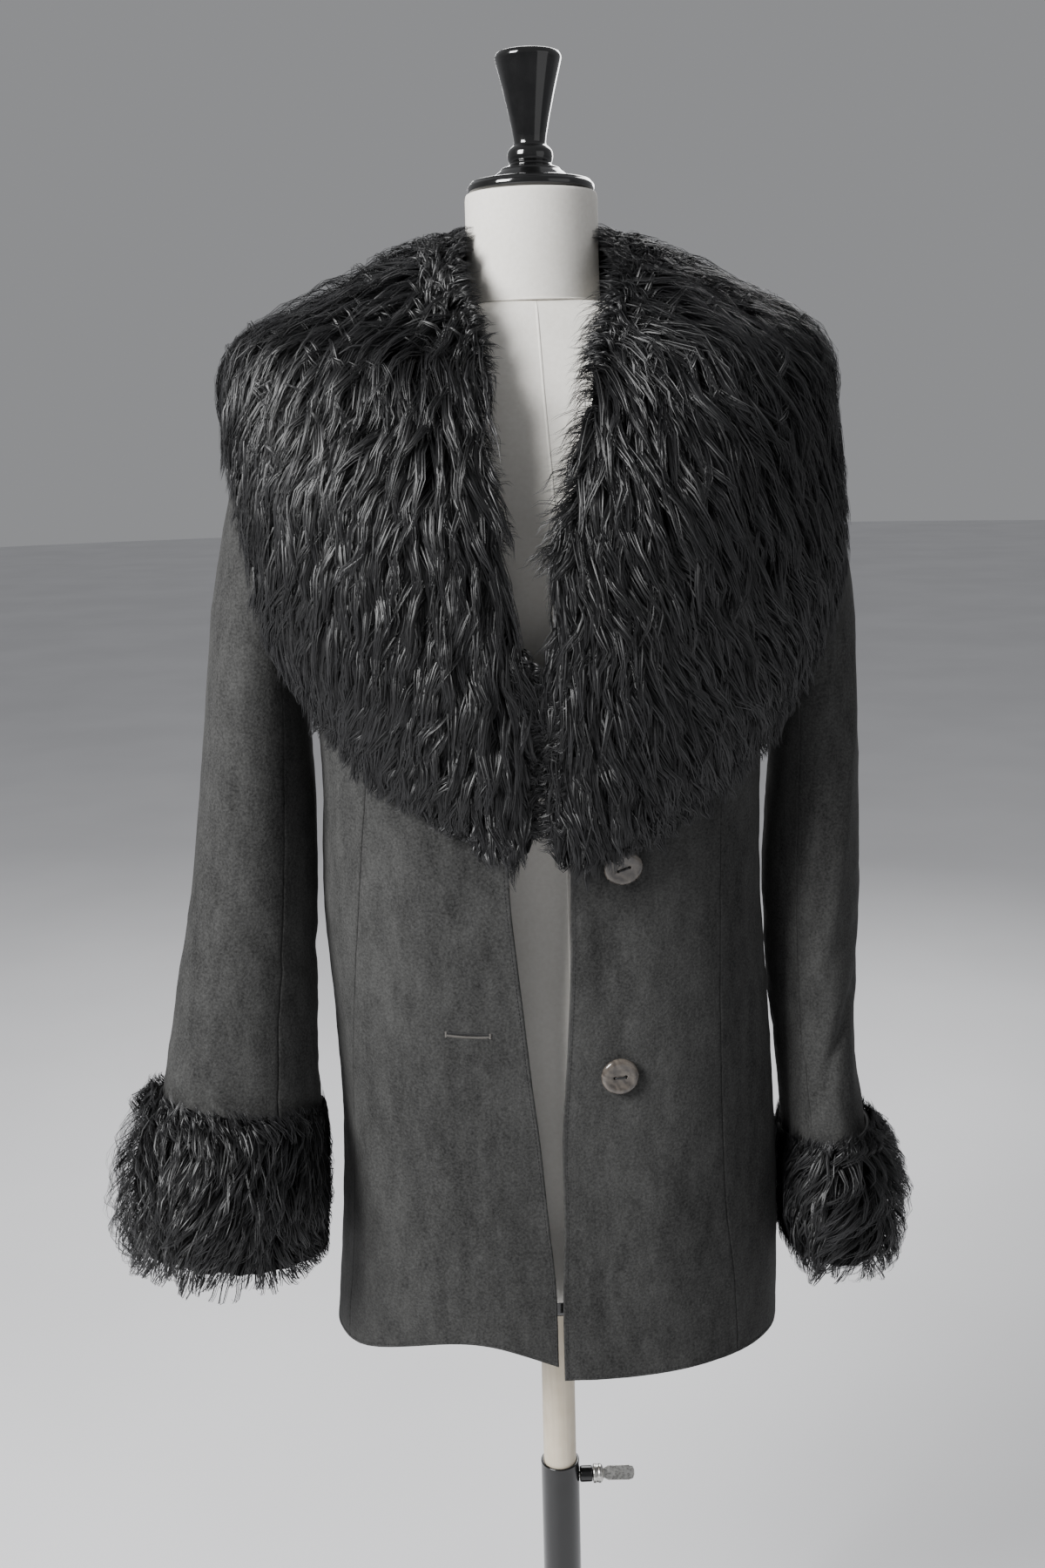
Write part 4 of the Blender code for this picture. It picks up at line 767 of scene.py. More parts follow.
def hair_piece(name, blocks):
    """Join blocks of strands into one piece, with each strand's tone and place along it as attributes."""
    shifts = np.cumsum([0] + [len(block[0]) for block in blocks])
    shifted = [(points, quads + shift, tips + shift, tone, share)
               for (points, quads, tips, tone, share), shift in zip(blocks, shifts)]
    points, quads, tips, tone, share = [np.concatenate(column) for column in zip(*shifted)]
    piece = make_mesh(name, points, [quads, tips], HAIR)
    for key, values in (("tone", tone), ("share", share)):
        layer = piece.data.attributes.new(key, "FLOAT", "POINT")
        layer.data.foreach_set("value", values.astype(np.float32))
    return belong(piece, "form")


def scatter(pelt, spacing, seed, u_range=(0.0, 1.0)):
    """Places spread evenly over a pelt by area, jittered."""
    turn = np.random.default_rng(seed)
    area = np.linalg.norm(np.cross(pelt.along, pelt.across), axis=-1)
    tries = 6 * int(area.mean() * (u_range[1] - u_range[0]) / spacing ** 2)
    u = turn.uniform(*u_range, tries)
    v = turn.uniform(0.0, 1.0, tries)
    chance = sample(area[..., None], u, v)[:, 0] / area.max()
    keep = turn.random(tries) < chance
    u, v = u[keep], v[keep]
    # thin out places that are too near another, cell by cell
    points = pelt.at(u, v)[0]
    cells, chosen = {}, []
    for index, cell in enumerate(map(tuple, np.floor(points / (spacing * 0.80)).astype(int))):
        if cell not in cells:
            cells[cell] = index
            chosen.append(index)
    chosen = np.array(chosen)
    return u[chosen], v[chosen]


def collar_pelt(rows, side):
    read = table_reader(rows, COLLAR)
    places = np.linspace(0.0, 1.0, 91)
    across = np.linspace(0.0, 1.0, 25)
    inner_angle = side * read("inner_angle", places)
    outer_angle = side * read("outer_angle", places)
    levels = np.linspace(BED_RINGS[0][0], BED_RINGS[-1][0], 221)

    def level_of(degrees, height):
        found = np.zeros_like(degrees)
        for i, angle in enumerate(degrees):
            heights = ring_surface(read_bed, np.full_like(levels, angle), levels)[:, 2]
            found[i] = np.interp(height[i], heights, levels)
        return found

    inner_level = level_of(inner_angle, read("inner_height", places))
    outer_level = level_of(outer_angle, read("outer_height", places))
    share = across[None, :]
    degrees = inner_angle[:, None] + (outer_angle - inner_angle)[:, None] * share
    level = inner_level[:, None] + (outer_level - inner_level)[:, None] * share
    end = np.clip((places[:, None] - 0.80) / 0.20, 0.0, 1.0) ** 2
    level = level - COLLAR_TIP_BULGE * end * np.sin(math.pi * share ** 0.4)
    skin = ring_surface(read_bed, degrees, level)
    normal = ring_normals(read_bed, degrees, level)
    rounded = np.sin(math.pi * (0.04 + 0.92 * share) ** 0.85) ** 0.42
    depth = read("fur", places)[:, None] * rounded * (1.0 - 0.55 * share ** 3)
    return Pelt(skin + LIFT * normal, normal, depth)


def cuff_pelt(surface, side_name):
    start, end, outer_depth, front_depth, inner_depth, back_depth = CUFFS[side_name]
    around = np.linspace(0.0, 360.0, 61)
    places = start + (end - start) * np.linspace(0.0, 1.0, 17)
    degrees = np.repeat(around[None, :], len(places), axis=0)
    along = np.repeat(places[:, None], len(around), axis=1)
    inside = np.minimum(along, 1.0)
    skin = surface(degrees, inside)
    skin[..., 2] -= np.maximum(along - 1.0, 0.0)
    normal = sleeve_normals(surface, degrees, inside)
    angle = np.radians(degrees)
    depth = (outer_depth * np.maximum(np.cos(angle), 0.0) ** 2 + inner_depth * np.maximum(-np.cos(angle), 0.0) ** 2
             + front_depth * np.maximum(np.sin(angle), 0.0) ** 2 + back_depth * np.maximum(-np.sin(angle), 0.0) ** 2)
    share = (along - start) / (end - start)
    depth = depth * np.sin(math.pi * (0.03 + 0.83 * share)) ** 0.6
    reach = normal * depth[..., None]
    reach[..., 2] += (0.004 - 0.020 * share) * np.clip(depth / 0.02, 0.0, 1.0)
    depth = np.linalg.norm(reach, axis=-1)
    return Pelt(skin + 0.0008 * normal, reach / depth[..., None], depth, wrap=True)


def pelt_layer(name, pelt, outer, inner, material):
    """A closed shell over a pelt; a ring's repeated column is left out."""
    if pelt.wrap:
        outer, inner = outer[:, :-1], inner[:, :-1]
    return wall(name, outer, inner, material, wrap=pelt.wrap)


def pelt_skin(name, pelt, node, extra):
    """The leather side of the pelt, as a thin shell."""
    piece = pelt_layer(name, pelt, pelt.skin + PELT_THICKNESS * pelt.normal, pelt.skin, PELT)
    declare_sheet(piece, node)


def underfur(name, pelt, seed):
    """The dense woolly fur under the long locks, an uneven mass."""
    skin, normal = pelt.skin, pelt.normal
    uneven = 1.0 + 0.22 * ripple(skin, 0.016, seed)[..., None] + 0.12 * ripple(skin, 0.007, seed + 1)[..., None]
    outer = skin + normal * np.maximum(pelt.depth * 0.45 * uneven, 0.0030)
    return belong(pelt_layer(name, pelt, outer, skin + normal * 0.0024, UNDERWOOL_PAINTED_SHADE), "form")


DOWN = np.array((0.0, 0.0, -1.0))


def tangential(vector, normal):
    return vector - normal * (vector * normal).sum(-1, keepdims=True)


def collar_flow(side):
    """Fur lies down and outward: away from the neck on the shoulders, down the chest, and in whorls."""
    def flow(u, v, point, normal):
        out = np.stack((0.0 * u + side, 0.0 * u, 0.0 * u), axis=-1)
        back = np.clip(point[..., 1] / 0.06, 0.0, 1.0)[..., None]
        top = np.clip((point[..., 2] - 1.33) / 0.07, 0.0, 1.0)[..., None]
        fan = (0.10 + 0.35 * np.clip(v, 0.0, 1.0) - 0.25 * np.clip(1.0 - v / 0.25, 0.0, 1.0))[..., None]
        direction = DOWN * (1.0 - 0.25 * top) + out * (fan * (1.0 - back) + 0.9 * top)
        direction = direction + np.array((0.0, 1.0, 0.0)) * 0.5 * back * top
        whorl = 0.24 * ripple(point, 0.085, 61) + 0.22 * ripple(point, 0.036, 62)
        direction = direction + whorl[..., None] * np.cross(normal, DOWN)
        return unit(tangential(direction, normal))

    return flow


def cuff_flow(u, v, point, normal):
    swirl = 0.55 * np.sin(6.283 * 2.0 * v + 2.6 * u) + 0.30 * np.sin(6.283 * 5.0 * v - 4.0 * u)
    direction = np.broadcast_to(DOWN, point.shape) + swirl[..., None] * np.cross(normal, DOWN)
    return unit(tangential(direction, normal))


# ---- materials -------------------------------------------------------------------------------
def linear(text):
    """An sRGB hex colour as the linear colour that a shader takes."""
    parts = [int(text[i:i + 2], 16) / 255.0 for i in (1, 3, 5)]
    return tuple(c / 12.92 if c <= 0.04045 else ((c + 0.055) / 1.055) ** 2.4 for c in parts) + (1.0,)


def add(tree, kind, inputs=None, **settings):
    """Add a node with its settings; an input is a value, or the socket that it is linked from."""
    made = tree.nodes.new(kind)
    for key, value in settings.items():
        setattr(made, key, value)
    for key, value in (inputs or {}).items():
        if isinstance(value, bpy.types.NodeSocket):
            tree.links.new(value, made.inputs[key])
        else:
            made.inputs[key].default_value = value
    return made


class Surface:
    """A material in the making: its node tree and its shader, with values set on the shader's own sockets."""

    def __init__(self, name, colour, **values):
        self.material = bpy.data.materials.new(name)
        self.material.use_nodes = True
        self.tree = self.material.node_tree
        self.shader = self.tree.nodes["Principled BSDF"]
        self.shader.inputs["Base Color"].default_value = linear(colour)
        for key, value in values.items():
            self.shader.inputs[key.replace("_", " ")].default_value = value
        self.place = add(self.tree, "ShaderNodeTexCoord").outputs["Object"]

    def noise(self, size, detail=2.0, rough=0.5, place=None):
        """Cloudy variation whose features are about the given size in metres."""
        return add(self.tree, "ShaderNodeTexNoise", {"Vector": self.place if place is None else place,
                                                     "Scale": 0.7 / size, "Detail": detail,
                                                     "Roughness": rough}).outputs["Fac"]

    def drawn_out(self, upward):
        """The object's coordinates for a pattern that is longer up Z, as the nap and the brush lie."""
        inputs = {"Vector": self.place, "Scale": (1.0, 1.0, upward)}
        return add(self.tree, "ShaderNodeMapping", inputs).outputs["Vector"]

    def spread(self, value, **limits):
        """A value mapped from one range to another."""
        inputs = {key.replace("_", " "): limit for key, limit in limits.items()}
        return add(self.tree, "ShaderNodeMapRange", {"Value": value, **inputs}).outputs[0]

    def mix(self, share, low, high):
        return add(self.tree, "ShaderNodeMix", {0: share, 6: low, 7: high}, data_type="RGBA").outputs[2]

    def blend(self, factor, low, high, start=0.35, end=0.65):
        """A colour between two, as the factor goes from start to end."""
        return self.mix(self.spread(factor, From_Min=start, From_Max=end), linear(low), linear(high))

    def done(self, colour=None, layers=(), roughness=None):
        """Link the colour, the roughness, and the bump of several (height socket, depth in metres)."""
        before = None
        for height, depth in layers:
            links = {"Height": height, "Distance": depth, "Strength": 1.0}
            if before is not None:
                links["Normal"] = before
            before = add(self.tree, "ShaderNodeBump", links).outputs["Normal"]
        for socket, source in (("Base Color", colour), ("Roughness", roughness), ("Normal", before)):
            if source is not None:
                self.tree.links.new(source, self.shader.inputs[socket])
        return self.material


def make_suede():
    """Black suede: brushed nap that lies in cloudy lighter and darker patches, with a fine velvety edge."""
    suede = Surface("black_brushed_suede", "#222222", Roughness=0.94, Sheen_Weight=0.12, Sheen_Roughness=0.5,
                    Sheen_Tint=linear("#9a9a98"), Specular_IOR_Level=0.18)
    brushed = suede.drawn_out(0.35)
    patches = suede.noise(0.060, 4.0, 0.62, brushed)
    mottle = suede.noise(0.0085, 4.0, 0.62, brushed)
    nap = suede.noise(0.0013, 2.0, 0.6)
    broad = suede.blend(patches, "#171717", "#3f3f3e", 0.36, 0.67)
    middle = suede.blend(mottle, "#131313", "#484847", 0.33, 0.70)
    speck = suede.blend(nap, "#0c0c0c", "#535352", 0.30, 0.72)
    whole = suede.mix(0.34, suede.mix(0.45, broad, middle), speck)
    return suede.done(whole, ((mottle, 0.00045), (nap, 0.00042)))


def make_hair(dark, light):
    """Sheepskin wool: glossy near-black hair, duller and darker at the roots, no two strands alike."""
    hair = Surface("black_sheepskin_wool", dark, Roughness=0.48, Specular_IOR_Level=0.52)
    tone = add(hair.tree, "ShaderNodeAttribute", attribute_name="tone").outputs["Fac"]
    share = add(hair.tree, "ShaderNodeAttribute", attribute_name="share").outputs["Fac"]
    strand = hair.blend(tone, dark, light, -1.6, 1.6)
    root = hair.spread(share, From_Min=0.0, From_Max=0.55)
    return hair.done(hair.mix(root, linear("#020203"), strand))


def make_underwool_painted_shade():
    """The felted wool near the skin: black wool, darkened further as painted shade where it shows between the locks."""
    # near-black: the wool's own black, with painted shade for the depth between the locks
    wool = Surface("black_underwool_painted_shade", "#040405", Roughness=0.95, Specular_IOR_Level=0.12)
    locks = wool.noise(0.006, 2.0, 0.6)
    hair = wool.noise(0.0012, 2.0, 0.6)
    return wool.done(wool.blend(locks, "#020202", "#0a0a0b"), ((locks, 0.0020), (hair, 0.0008)))


def make_pelt():
    """The leather side of the sheepskin: dense, matte and dark, a little wrinkled."""
    leather = Surface("black_sheepskin_leather", "#0c0c0d", Roughness=0.85)
    wrinkle = leather.noise(0.003, 3.0, 0.6)
    return leather.done(leather.blend(wrinkle, "#090909", "#131314"), ((wrinkle, 0.0004),))


def make_horn():
    """Polished horn: smoky layers of grey-brown under a hard gloss."""
    horn = Surface("polished_horn", "#4a443f", Roughness=0.16, Coat_Weight=0.35, Coat_Roughness=0.05)
    layers = add(horn.tree, "ShaderNodeTexWave", {"Vector": horn.place, "Scale": 60.0, "Distortion": 9.0,
                                                  "Detail": 3.0, "Detail Scale": 1.6},
                 wave_type="BANDS", bands_direction="DIAGONAL").outputs["Fac"]
    base = horn.blend(horn.noise(0.006, 3.0, 0.6), "#292522", "#625b54", 0.28, 0.74)
    streak = horn.blend(layers, "#231f1d", "#6c645c", 0.1, 0.95)
    return horn.done(horn.mix(0.28, base, streak), ((horn.noise(0.0018, 2.0), 0.00004),))


def make_calico():
    """Unbleached cotton stretched over the form: a 0.5 mm plain weave, slubs and slight soiling."""
    calico = Surface("white_calico", "#e4e1da", Roughness=0.88, Sheen_Weight=0.10, Sheen_Roughness=0.5,
                     Specular_IOR_Level=0.25)
    flat = add(calico.tree, "ShaderNodeUVMap", uv_map="weave").outputs["UV"]
    pitch = 0.314 / 0.00055
    warp, weft = [add(calico.tree, "ShaderNodeTexWave", {"Vector": flat, "Scale": pitch, "Distortion": 0.6,
                                                         "Detail": 1.0},
                      wave_type="BANDS", bands_direction=axis).outputs["Fac"] for axis in "XY"]
    weave = add(calico.tree, "ShaderNodeMath", {0: warp, 1: weft}, operation="MULTIPLY").outputs[0]
    slub = calico.noise(0.0022, 2.0, 0.5)
    base = calico.blend(calico.noise(0.11, 3.0, 0.55), "#d9d5cc", "#eae7e0", 0.33, 0.66)
    fibre = calico.blend(slub, "#d2cdc3", "#f0ede7", 0.30, 0.70)
    gaps = calico.mix(weave, calico.mix(0.30, base, fibre), linear("#f2efe9"))
    return calico.done(gaps, ((slub, 0.00008), (weave, 0.00007)))


def make_lacquer():
    """Turned wood under many coats of black lacquer: deep gloss with a few fine rubs."""
    lacquer = Surface("black_gloss_lacquer", "#060606", Roughness=0.10, Coat_Weight=0.8, Coat_Roughness=0.03)
    rubs = lacquer.noise(0.009, 4.0, 0.65)
    roughness = lacquer.spread(rubs, From_Min=0.3, From_Max=0.75, To_Min=0.07, To_Max=0.20)
    return lacquer.done(lacquer.blend(rubs, "#040404", "#0a0a0a"), roughness=roughness)


def make_cream_paint():
    """Cream paint brushed along the pole, with faint streaks and rubbed places."""
    paint = Surface("cream_brushed_paint", "#d3c7b2", Roughness=0.42)
    streak = paint.noise(0.0022, 3.0, 0.6, paint.drawn_out(0.06))
    base = paint.blend(paint.noise(0.035, 3.0, 0.6), "#c3b59d", "#ddd2be", 0.32, 0.66)
    brush = paint.blend(streak, "#b9ab93", "#e4dac8", 0.28, 0.72)
    return paint.done(paint.mix(0.30, base, brush), ((streak, 0.00012),))


def make_black_steel():
    """Steel under sprayed black enamel: glossy, with the faint orange peel of the spray."""
    enamel = Surface("black_sprayed_enamel", "#070707", Roughness=0.24, Coat_Weight=0.25, Coat_Roughness=0.12)
    peel = enamel.noise(0.0018, 1.0, 0.4)
    dust = enamel.noise(0.012, 4.0, 0.6)
    return enamel.done(enamel.blend(dust, "#050505", "#101011"), ((peel, 0.00005),))


def make_bright_steel():
    """Cast key and screw, tumbled and nickel plated: bright, softly uneven."""
    nickel = Surface("nickel_plated_steel", "#c9c8c4", Roughness=0.26, Metallic=1.0)
    cast = nickel.noise(0.0016, 3.0, 0.6)
    return nickel.done(nickel.blend(cast, "#a9a8a4", "#dad9d5"), ((cast, 0.00006),),
                       nickel.spread(cast, To_Min=0.20, To_Max=0.38))


def make_thread(name, colour):
    """Spun polyester sewing thread, a fine sheen on each stitch."""
    thread = Surface(name, colour, Roughness=0.55, Sheen_Weight=0.1)
    return thread.done(layers=((thread.noise(0.0004, 1.0, 0.5), 0.00005),))


SUEDE = make_suede()
HAIR = make_hair("#050506", "#151517")
UNDERWOOL_PAINTED_SHADE = make_underwool_painted_shade()
PELT = make_pelt()
HORN = make_horn()
CALICO = make_calico()
LACQUER = make_lacquer()
CREAM = make_cream_paint()
ENAMEL = make_black_steel()
NICKEL = make_bright_steel()
BLACK_THREAD = make_thread("black_sewing_thread", "#0d0d0e")
# grey twist: a painted highlight on the raised buttonhole stitches
PAINTED_HIGHLIGHT_TWIST = make_thread("buttonhole_twist_painted_highlight", "#55524e")


# ---- camera first, so that every later piece is judged from the same place -------------------
def set_camera():
    """The photograph's viewpoint: near the front, a little above the chest, looking down."""
    distance, height, sensor, focal = 1.243, 1.31, 36.0, 1840.0 / 1800.0     # focal is in picture heights
    yaw, pitch, roll = math.radians(1.5), math.radians(12.6), math.radians(1.5)
    heading = yaw - math.atan(26.0 / 1840.0)
    place = Vector((-distance * math.sin(yaw), -distance * math.cos(yaw), height))
    ahead = Vector((math.sin(heading) * math.cos(pitch), math.cos(heading) * math.cos(pitch), -math.sin(pitch)))
    right = Vector((math.cos(heading), -math.sin(heading), 0.0))
    up = right.cross(ahead)
    turned_right = right * math.cos(roll) - up * math.sin(roll)
    turned_up = up * math.cos(roll) + right * math.sin(roll)
    data = bpy.data.cameras.new("photo_view")
    data.sensor_width = sensor
    data.lens = sensor * focal
    data.clip_start = 0.05
    camera = bpy.data.objects.new("photo_view", data)
    turn = Matrix((turned_right, turned_up, -ahead)).transposed().to_4x4()
    camera.matrix_world = Matrix.Translation(place) @ turn
    bpy.context.scene.collection.objects.link(camera)
    bpy.context.scene.camera = camera


set_camera()


# ---- suede panels and sleeves ----------------------------------------------------------------
body_panel("suede_front_right", princess_border(-1), front_border(-1), 0.170, grooves=(0.0, STITCH_GROOVE))
body_panel("suede_side_front_right", side_border(-1, -1.0), princess_border(-1), 0.085)
body_panel("suede_front_left", front_border(1), princess_border(1), 0.170, grooves=(STITCH_GROOVE, 0.0))
body_panel("suede_side_front_left", princess_border(1), side_border(1, -1.0), 0.100)
body_panel("suede_back_left", side_border(1, 1.0), centre_back(1), 0.200)
body_panel("suede_back_right", centre_back(-1), side_border(-1, 1.0), 0.200)
SLEEVES = {"right": sleeve_surface(SLEEVE_RIGHT, SLEEVE_FOLDS_RIGHT, -1.0),
           "left": sleeve_surface(SLEEVE_LEFT, SLEEVE_FOLDS_LEFT, 1.0)}
for seed, (side_name, surface) in enumerate(SLEEVES.items()):
    for part_name, ends in SLEEVE_ENDS.items():
        sleeve_piece("suede_sleeve_%s_%s" % (side_name, part_name), surface, ends, 30 + 5 * seed)


# ---- sewing ----------------------------------------------------------------------------------
def stitch_row(name, path, outward, pitch, length, radius, material, across=False):
    """A row of stitches along a path, each a small capsule; across lays them over the path instead."""
    steps = np.linalg.norm(np.diff(path, axis=0), axis=-1)
    run = np.concatenate(([0.0], np.cumsum(steps)))
    spots = np.arange(0.5 * pitch, run[-1], pitch)
    centre = np.stack([np.interp(spots, run, path[:, i]) for i in range(3)], axis=-1)
    ahead = unit(np.stack([np.gradient(np.interp(spots, run, path[:, i])) for i in range(3)], axis=-1))
    up = unit(np.stack([np.interp(spots, run, outward[:, i]) for i in range(3)], axis=-1))
    side = unit(np.cross(up, ahead))
    if across:
        ahead, side = side, -ahead
    rings = ((-0.50, 0.45, -0.7), (-0.36, 0.95, 0.0), (0.0, 1.05, 0.15), (0.36, 0.95, 0.0), (0.50, 0.45, -0.7))
    turns = np.arange(6) * math.pi / 3.0
    count, per = len(spots), 6 * len(rings) + 2
    points = np.zeros((count, per, 3))
    for row, (along, size, sink) in enumerate(rings):
        for k, turn in enumerate(turns):
            reach = side * math.cos(turn) * radius * size + up * (math.sin(turn) * radius * size + sink * radius)
            points[:, row * 6 + k] = centre + ahead * along * length + reach
    points[:, -2] = centre - ahead * 0.54 * length - up * radius
    points[:, -1] = centre + ahead * 0.54 * length - up * radius
    quads, fans = grid_quads(len(rings), 6, wrap=True), end_fans(len(rings), 6)
    base = (np.arange(count) * per)[:, None, None]
    piece = make_mesh(name, points.reshape(-1, 3), [(base + quads[None]).reshape(-1, 4),
                                                    (base + fans[None]).reshape(-1, 3)], material)
    turn_outward(piece)
    belong(piece, "form")


def topstitch(name, degrees, level):
    """A row of topstitching in its groove, at plan angles and levels."""
    pitch, length, radius, sink = 0.0033, 0.0026, 0.00024, 0.00008
    path, outward = on_body(degrees, level, -sink)
    stitch_row(name, path, outward, pitch, length, radius, BLACK_THREAD)


for side_name, side in SIDES:
    level = np.arange(HEM_LEVEL + STITCH_INSET, 1.150, 0.002)
    degrees = front_border(side)(level) + side * np.degrees(STITCH_INSET / 0.112)
    topstitch("topstitch_front_" + side_name, degrees, level)
    start = float(front_border(side)(np.array(HEM_LEVEL)))
    degrees = np.linspace(start + side * 2.5, side * 179.0, 300)
    topstitch("topstitch_hem_" + side_name, degrees, np.full_like(degrees, HEM_LEVEL + STITCH_INSET))


def make_buttonhole(x, level, half_length):
    """A worked buttonhole: a dark slit of painted shadow, a lip of twist on each side and a bar at each end, partly
    grey as painted highlight.
    """
    run = np.linspace(-half_length, half_length, 60)
    levels = np.full_like(run, level)
    for place, drop in (("upper", 0.00125), ("lower", -0.00125)):
        bow = drop * np.sqrt(np.clip(1.0 - (run / (half_length * 1.04)) ** 2, 0.0, 1.0)) ** 0.5
        path, outward = on_body(edge_angle(x + run, levels), levels + bow, 0.00018)
        # the lower lip is grey twist as a painted highlight, the upper lip black twist
        material = PAINTED_HIGHLIGHT_TWIST if place == "lower" else BLACK_THREAD
        stitch_row("buttonhole_%s_lip" % place, path, outward, 0.00062, 0.0021, 0.00033, material, across=True)
    for place, end in (("inner", half_length + 0.0006), ("outer", -half_length - 0.0006)):
        rise = np.linspace(-0.0022, 0.0022, 12)
        path, outward = on_body(edge_angle(np.full(12, x + end), np.full(12, level)), level + rise, 0.00022)
        # the bars are grey twist as a painted highlight
        stitch_row("buttonhole_%s_bar" % place, path, outward, 0.00075, 0.0019, 0.00034, PAINTED_HIGHLIGHT_TWIST, across=True)
    angle = np.linspace(0.0, 2.0 * math.pi, 49)[:-1]
    rows = []
    for size, lift in ((1.0, 0.00002), (0.6, 0.00008), (0.2, 0.00010)):
        rise = 0.00055 * size * np.sin(angle)
        across = edge_angle(x + half_length * (0.85 + 0.15 * size) * np.cos(angle), np.full_like(angle, level))
        rows.append(on_body(across, level + rise, lift)[0])
    outer = np.stack(rows)
    inner = outer - ring_normals(read_body, edge_angle(np.full_like(angle, x), np.full_like(angle, level)),
                                 np.full_like(angle, level))[None] * 0.0004
    # the slit is a dark shell laid on the suede: a painted shadow of the opening
    slit = wall("buttonhole_slit_painted_shadow", outer, inner, UNDERWOOL_PAINTED_SHADE, wrap=True)
    turn_outward(slit)
    belong(slit, "form")


make_buttonhole(-0.0649, 0.8650, 0.0165)


# ---- turned pieces ---------------------------------------------------------------------------
def soften(profile, radius, steps=4):
    """Round the corners of a profile; its two ends stay as they are."""
    profile = [np.array(point, dtype=float) for point in profile]
    out = [profile[0]]
    for before, corner, after in zip(profile, profile[1:], profile[2:]):
        back = before - corner
        on = after - corner
        size = min(radius, 0.45 * np.linalg.norm(back), 0.45 * np.linalg.norm(on))
        start = corner + back / np.linalg.norm(back) * size
        finish = corner + on / np.linalg.norm(on) * size
        for t in np.linspace(0.0, 1.0, steps):
            out.append((1.0 - t) ** 2 * start + 2.0 * t * (1.0 - t) * corner + t * t * finish)
    out.append(profile[-1])
    return out


def turned(name, profile, material, body, node=None, segments=64, sharp=40.0):
    """Spin a profile of (radius, height) round the Z axis, as on a lathe."""
    mesh = bpy.data.meshes.new(name)
    mesh.from_pydata([(r, 0.0, z) for r, z in profile], [(i, i + 1) for i in range(len(profile) - 1)], [])
    piece = bpy.data.objects.new(name, mesh)
    bpy.context.scene.collection.objects.link(piece)
    pick(piece)
    bpy.ops.object.mode_set(mode="EDIT")
    bpy.ops.mesh.select_all(action="SELECT")
    bpy.ops.mesh.spin(steps=segments, angle=2.0 * math.pi, center=(0.0, 0.0, 0.0), axis=(0.0, 0.0, 1.0))
    bpy.ops.mesh.select_all(action="SELECT")
    bpy.ops.mesh.remove_doubles(threshold=0.000004)
    bpy.ops.mesh.normals_make_consistent(inside=False)
    bpy.ops.object.mode_set(mode="OBJECT")
    bpy.ops.object.shade_smooth_by_angle(angle=math.radians(sharp))
    piece.select_set(False)
    mesh.materials.append(material)
    return belong(piece, body, node)


def drill_hole(piece, vertices, radius, depth, location, rotation=(0.0, 0.0, 0.0)):
    """Cut a round hole through a piece."""
    bpy.ops.mesh.primitive_cylinder_add(vertices=vertices, radius=radius, depth=depth, location=location,
                                        rotation=rotation)
    drill = bpy.context.active_object
    cut = piece.modifiers.new("hole", "BOOLEAN")
    cut.operation, cut.solver, cut.object = "DIFFERENCE", "EXACT", drill
    pick(piece)
    bpy.ops.object.modifier_apply(modifier="hole")
    piece.select_set(False)
    bpy.data.objects.remove(drill, do_unlink=True)


def move_mesh(piece, matrix):
    piece.data.transform(matrix)
    piece.data.update()


def add_weave_map(piece, scale=1.0):
    """A UV map in metres: round the form and up it."""
    layer = piece.data.uv_layers.new(name="weave")
    place = np.empty(len(piece.data.vertices) * 3, dtype=np.float32)
    piece.data.vertices.foreach_get("co", place)
    place = place.reshape(-1, 3)
    corners = np.empty(len(piece.data.loops), dtype=np.int32)
    piece.data.loops.foreach_get("vertex_index", corners)
    angle = np.arctan2(place[:, 0], -place[:, 1])
    around = angle * scale
    flat = np.stack((around, place[:, 2]), axis=-1)[corners]
    # faces that cross the back seam keep one side of it
    starts = np.empty(len(piece.data.polygons), dtype=np.int32)
    totals = np.empty(len(piece.data.polygons), dtype=np.int32)
    piece.data.polygons.foreach_get("loop_start", starts)
    piece.data.polygons.foreach_get("loop_total", totals)
    face = np.repeat(np.arange(len(starts)), totals)
    low = np.minimum.reduceat(flat[:, 0], starts)
    high = np.maximum.reduceat(flat[:, 0], starts)
    wraps = (high - low > 4.0 * scale)[face]
    flat[wraps & (flat[:, 0] < 0.0), 0] += 2.0 * math.pi * scale
    layer.data.foreach_set("uv", flat.astype(np.float32).ravel())


BUTTON_RADIUS = 0.0145
BUTTON_THICKNESS = 0.0065
HOLE_SPACING = 0.0083


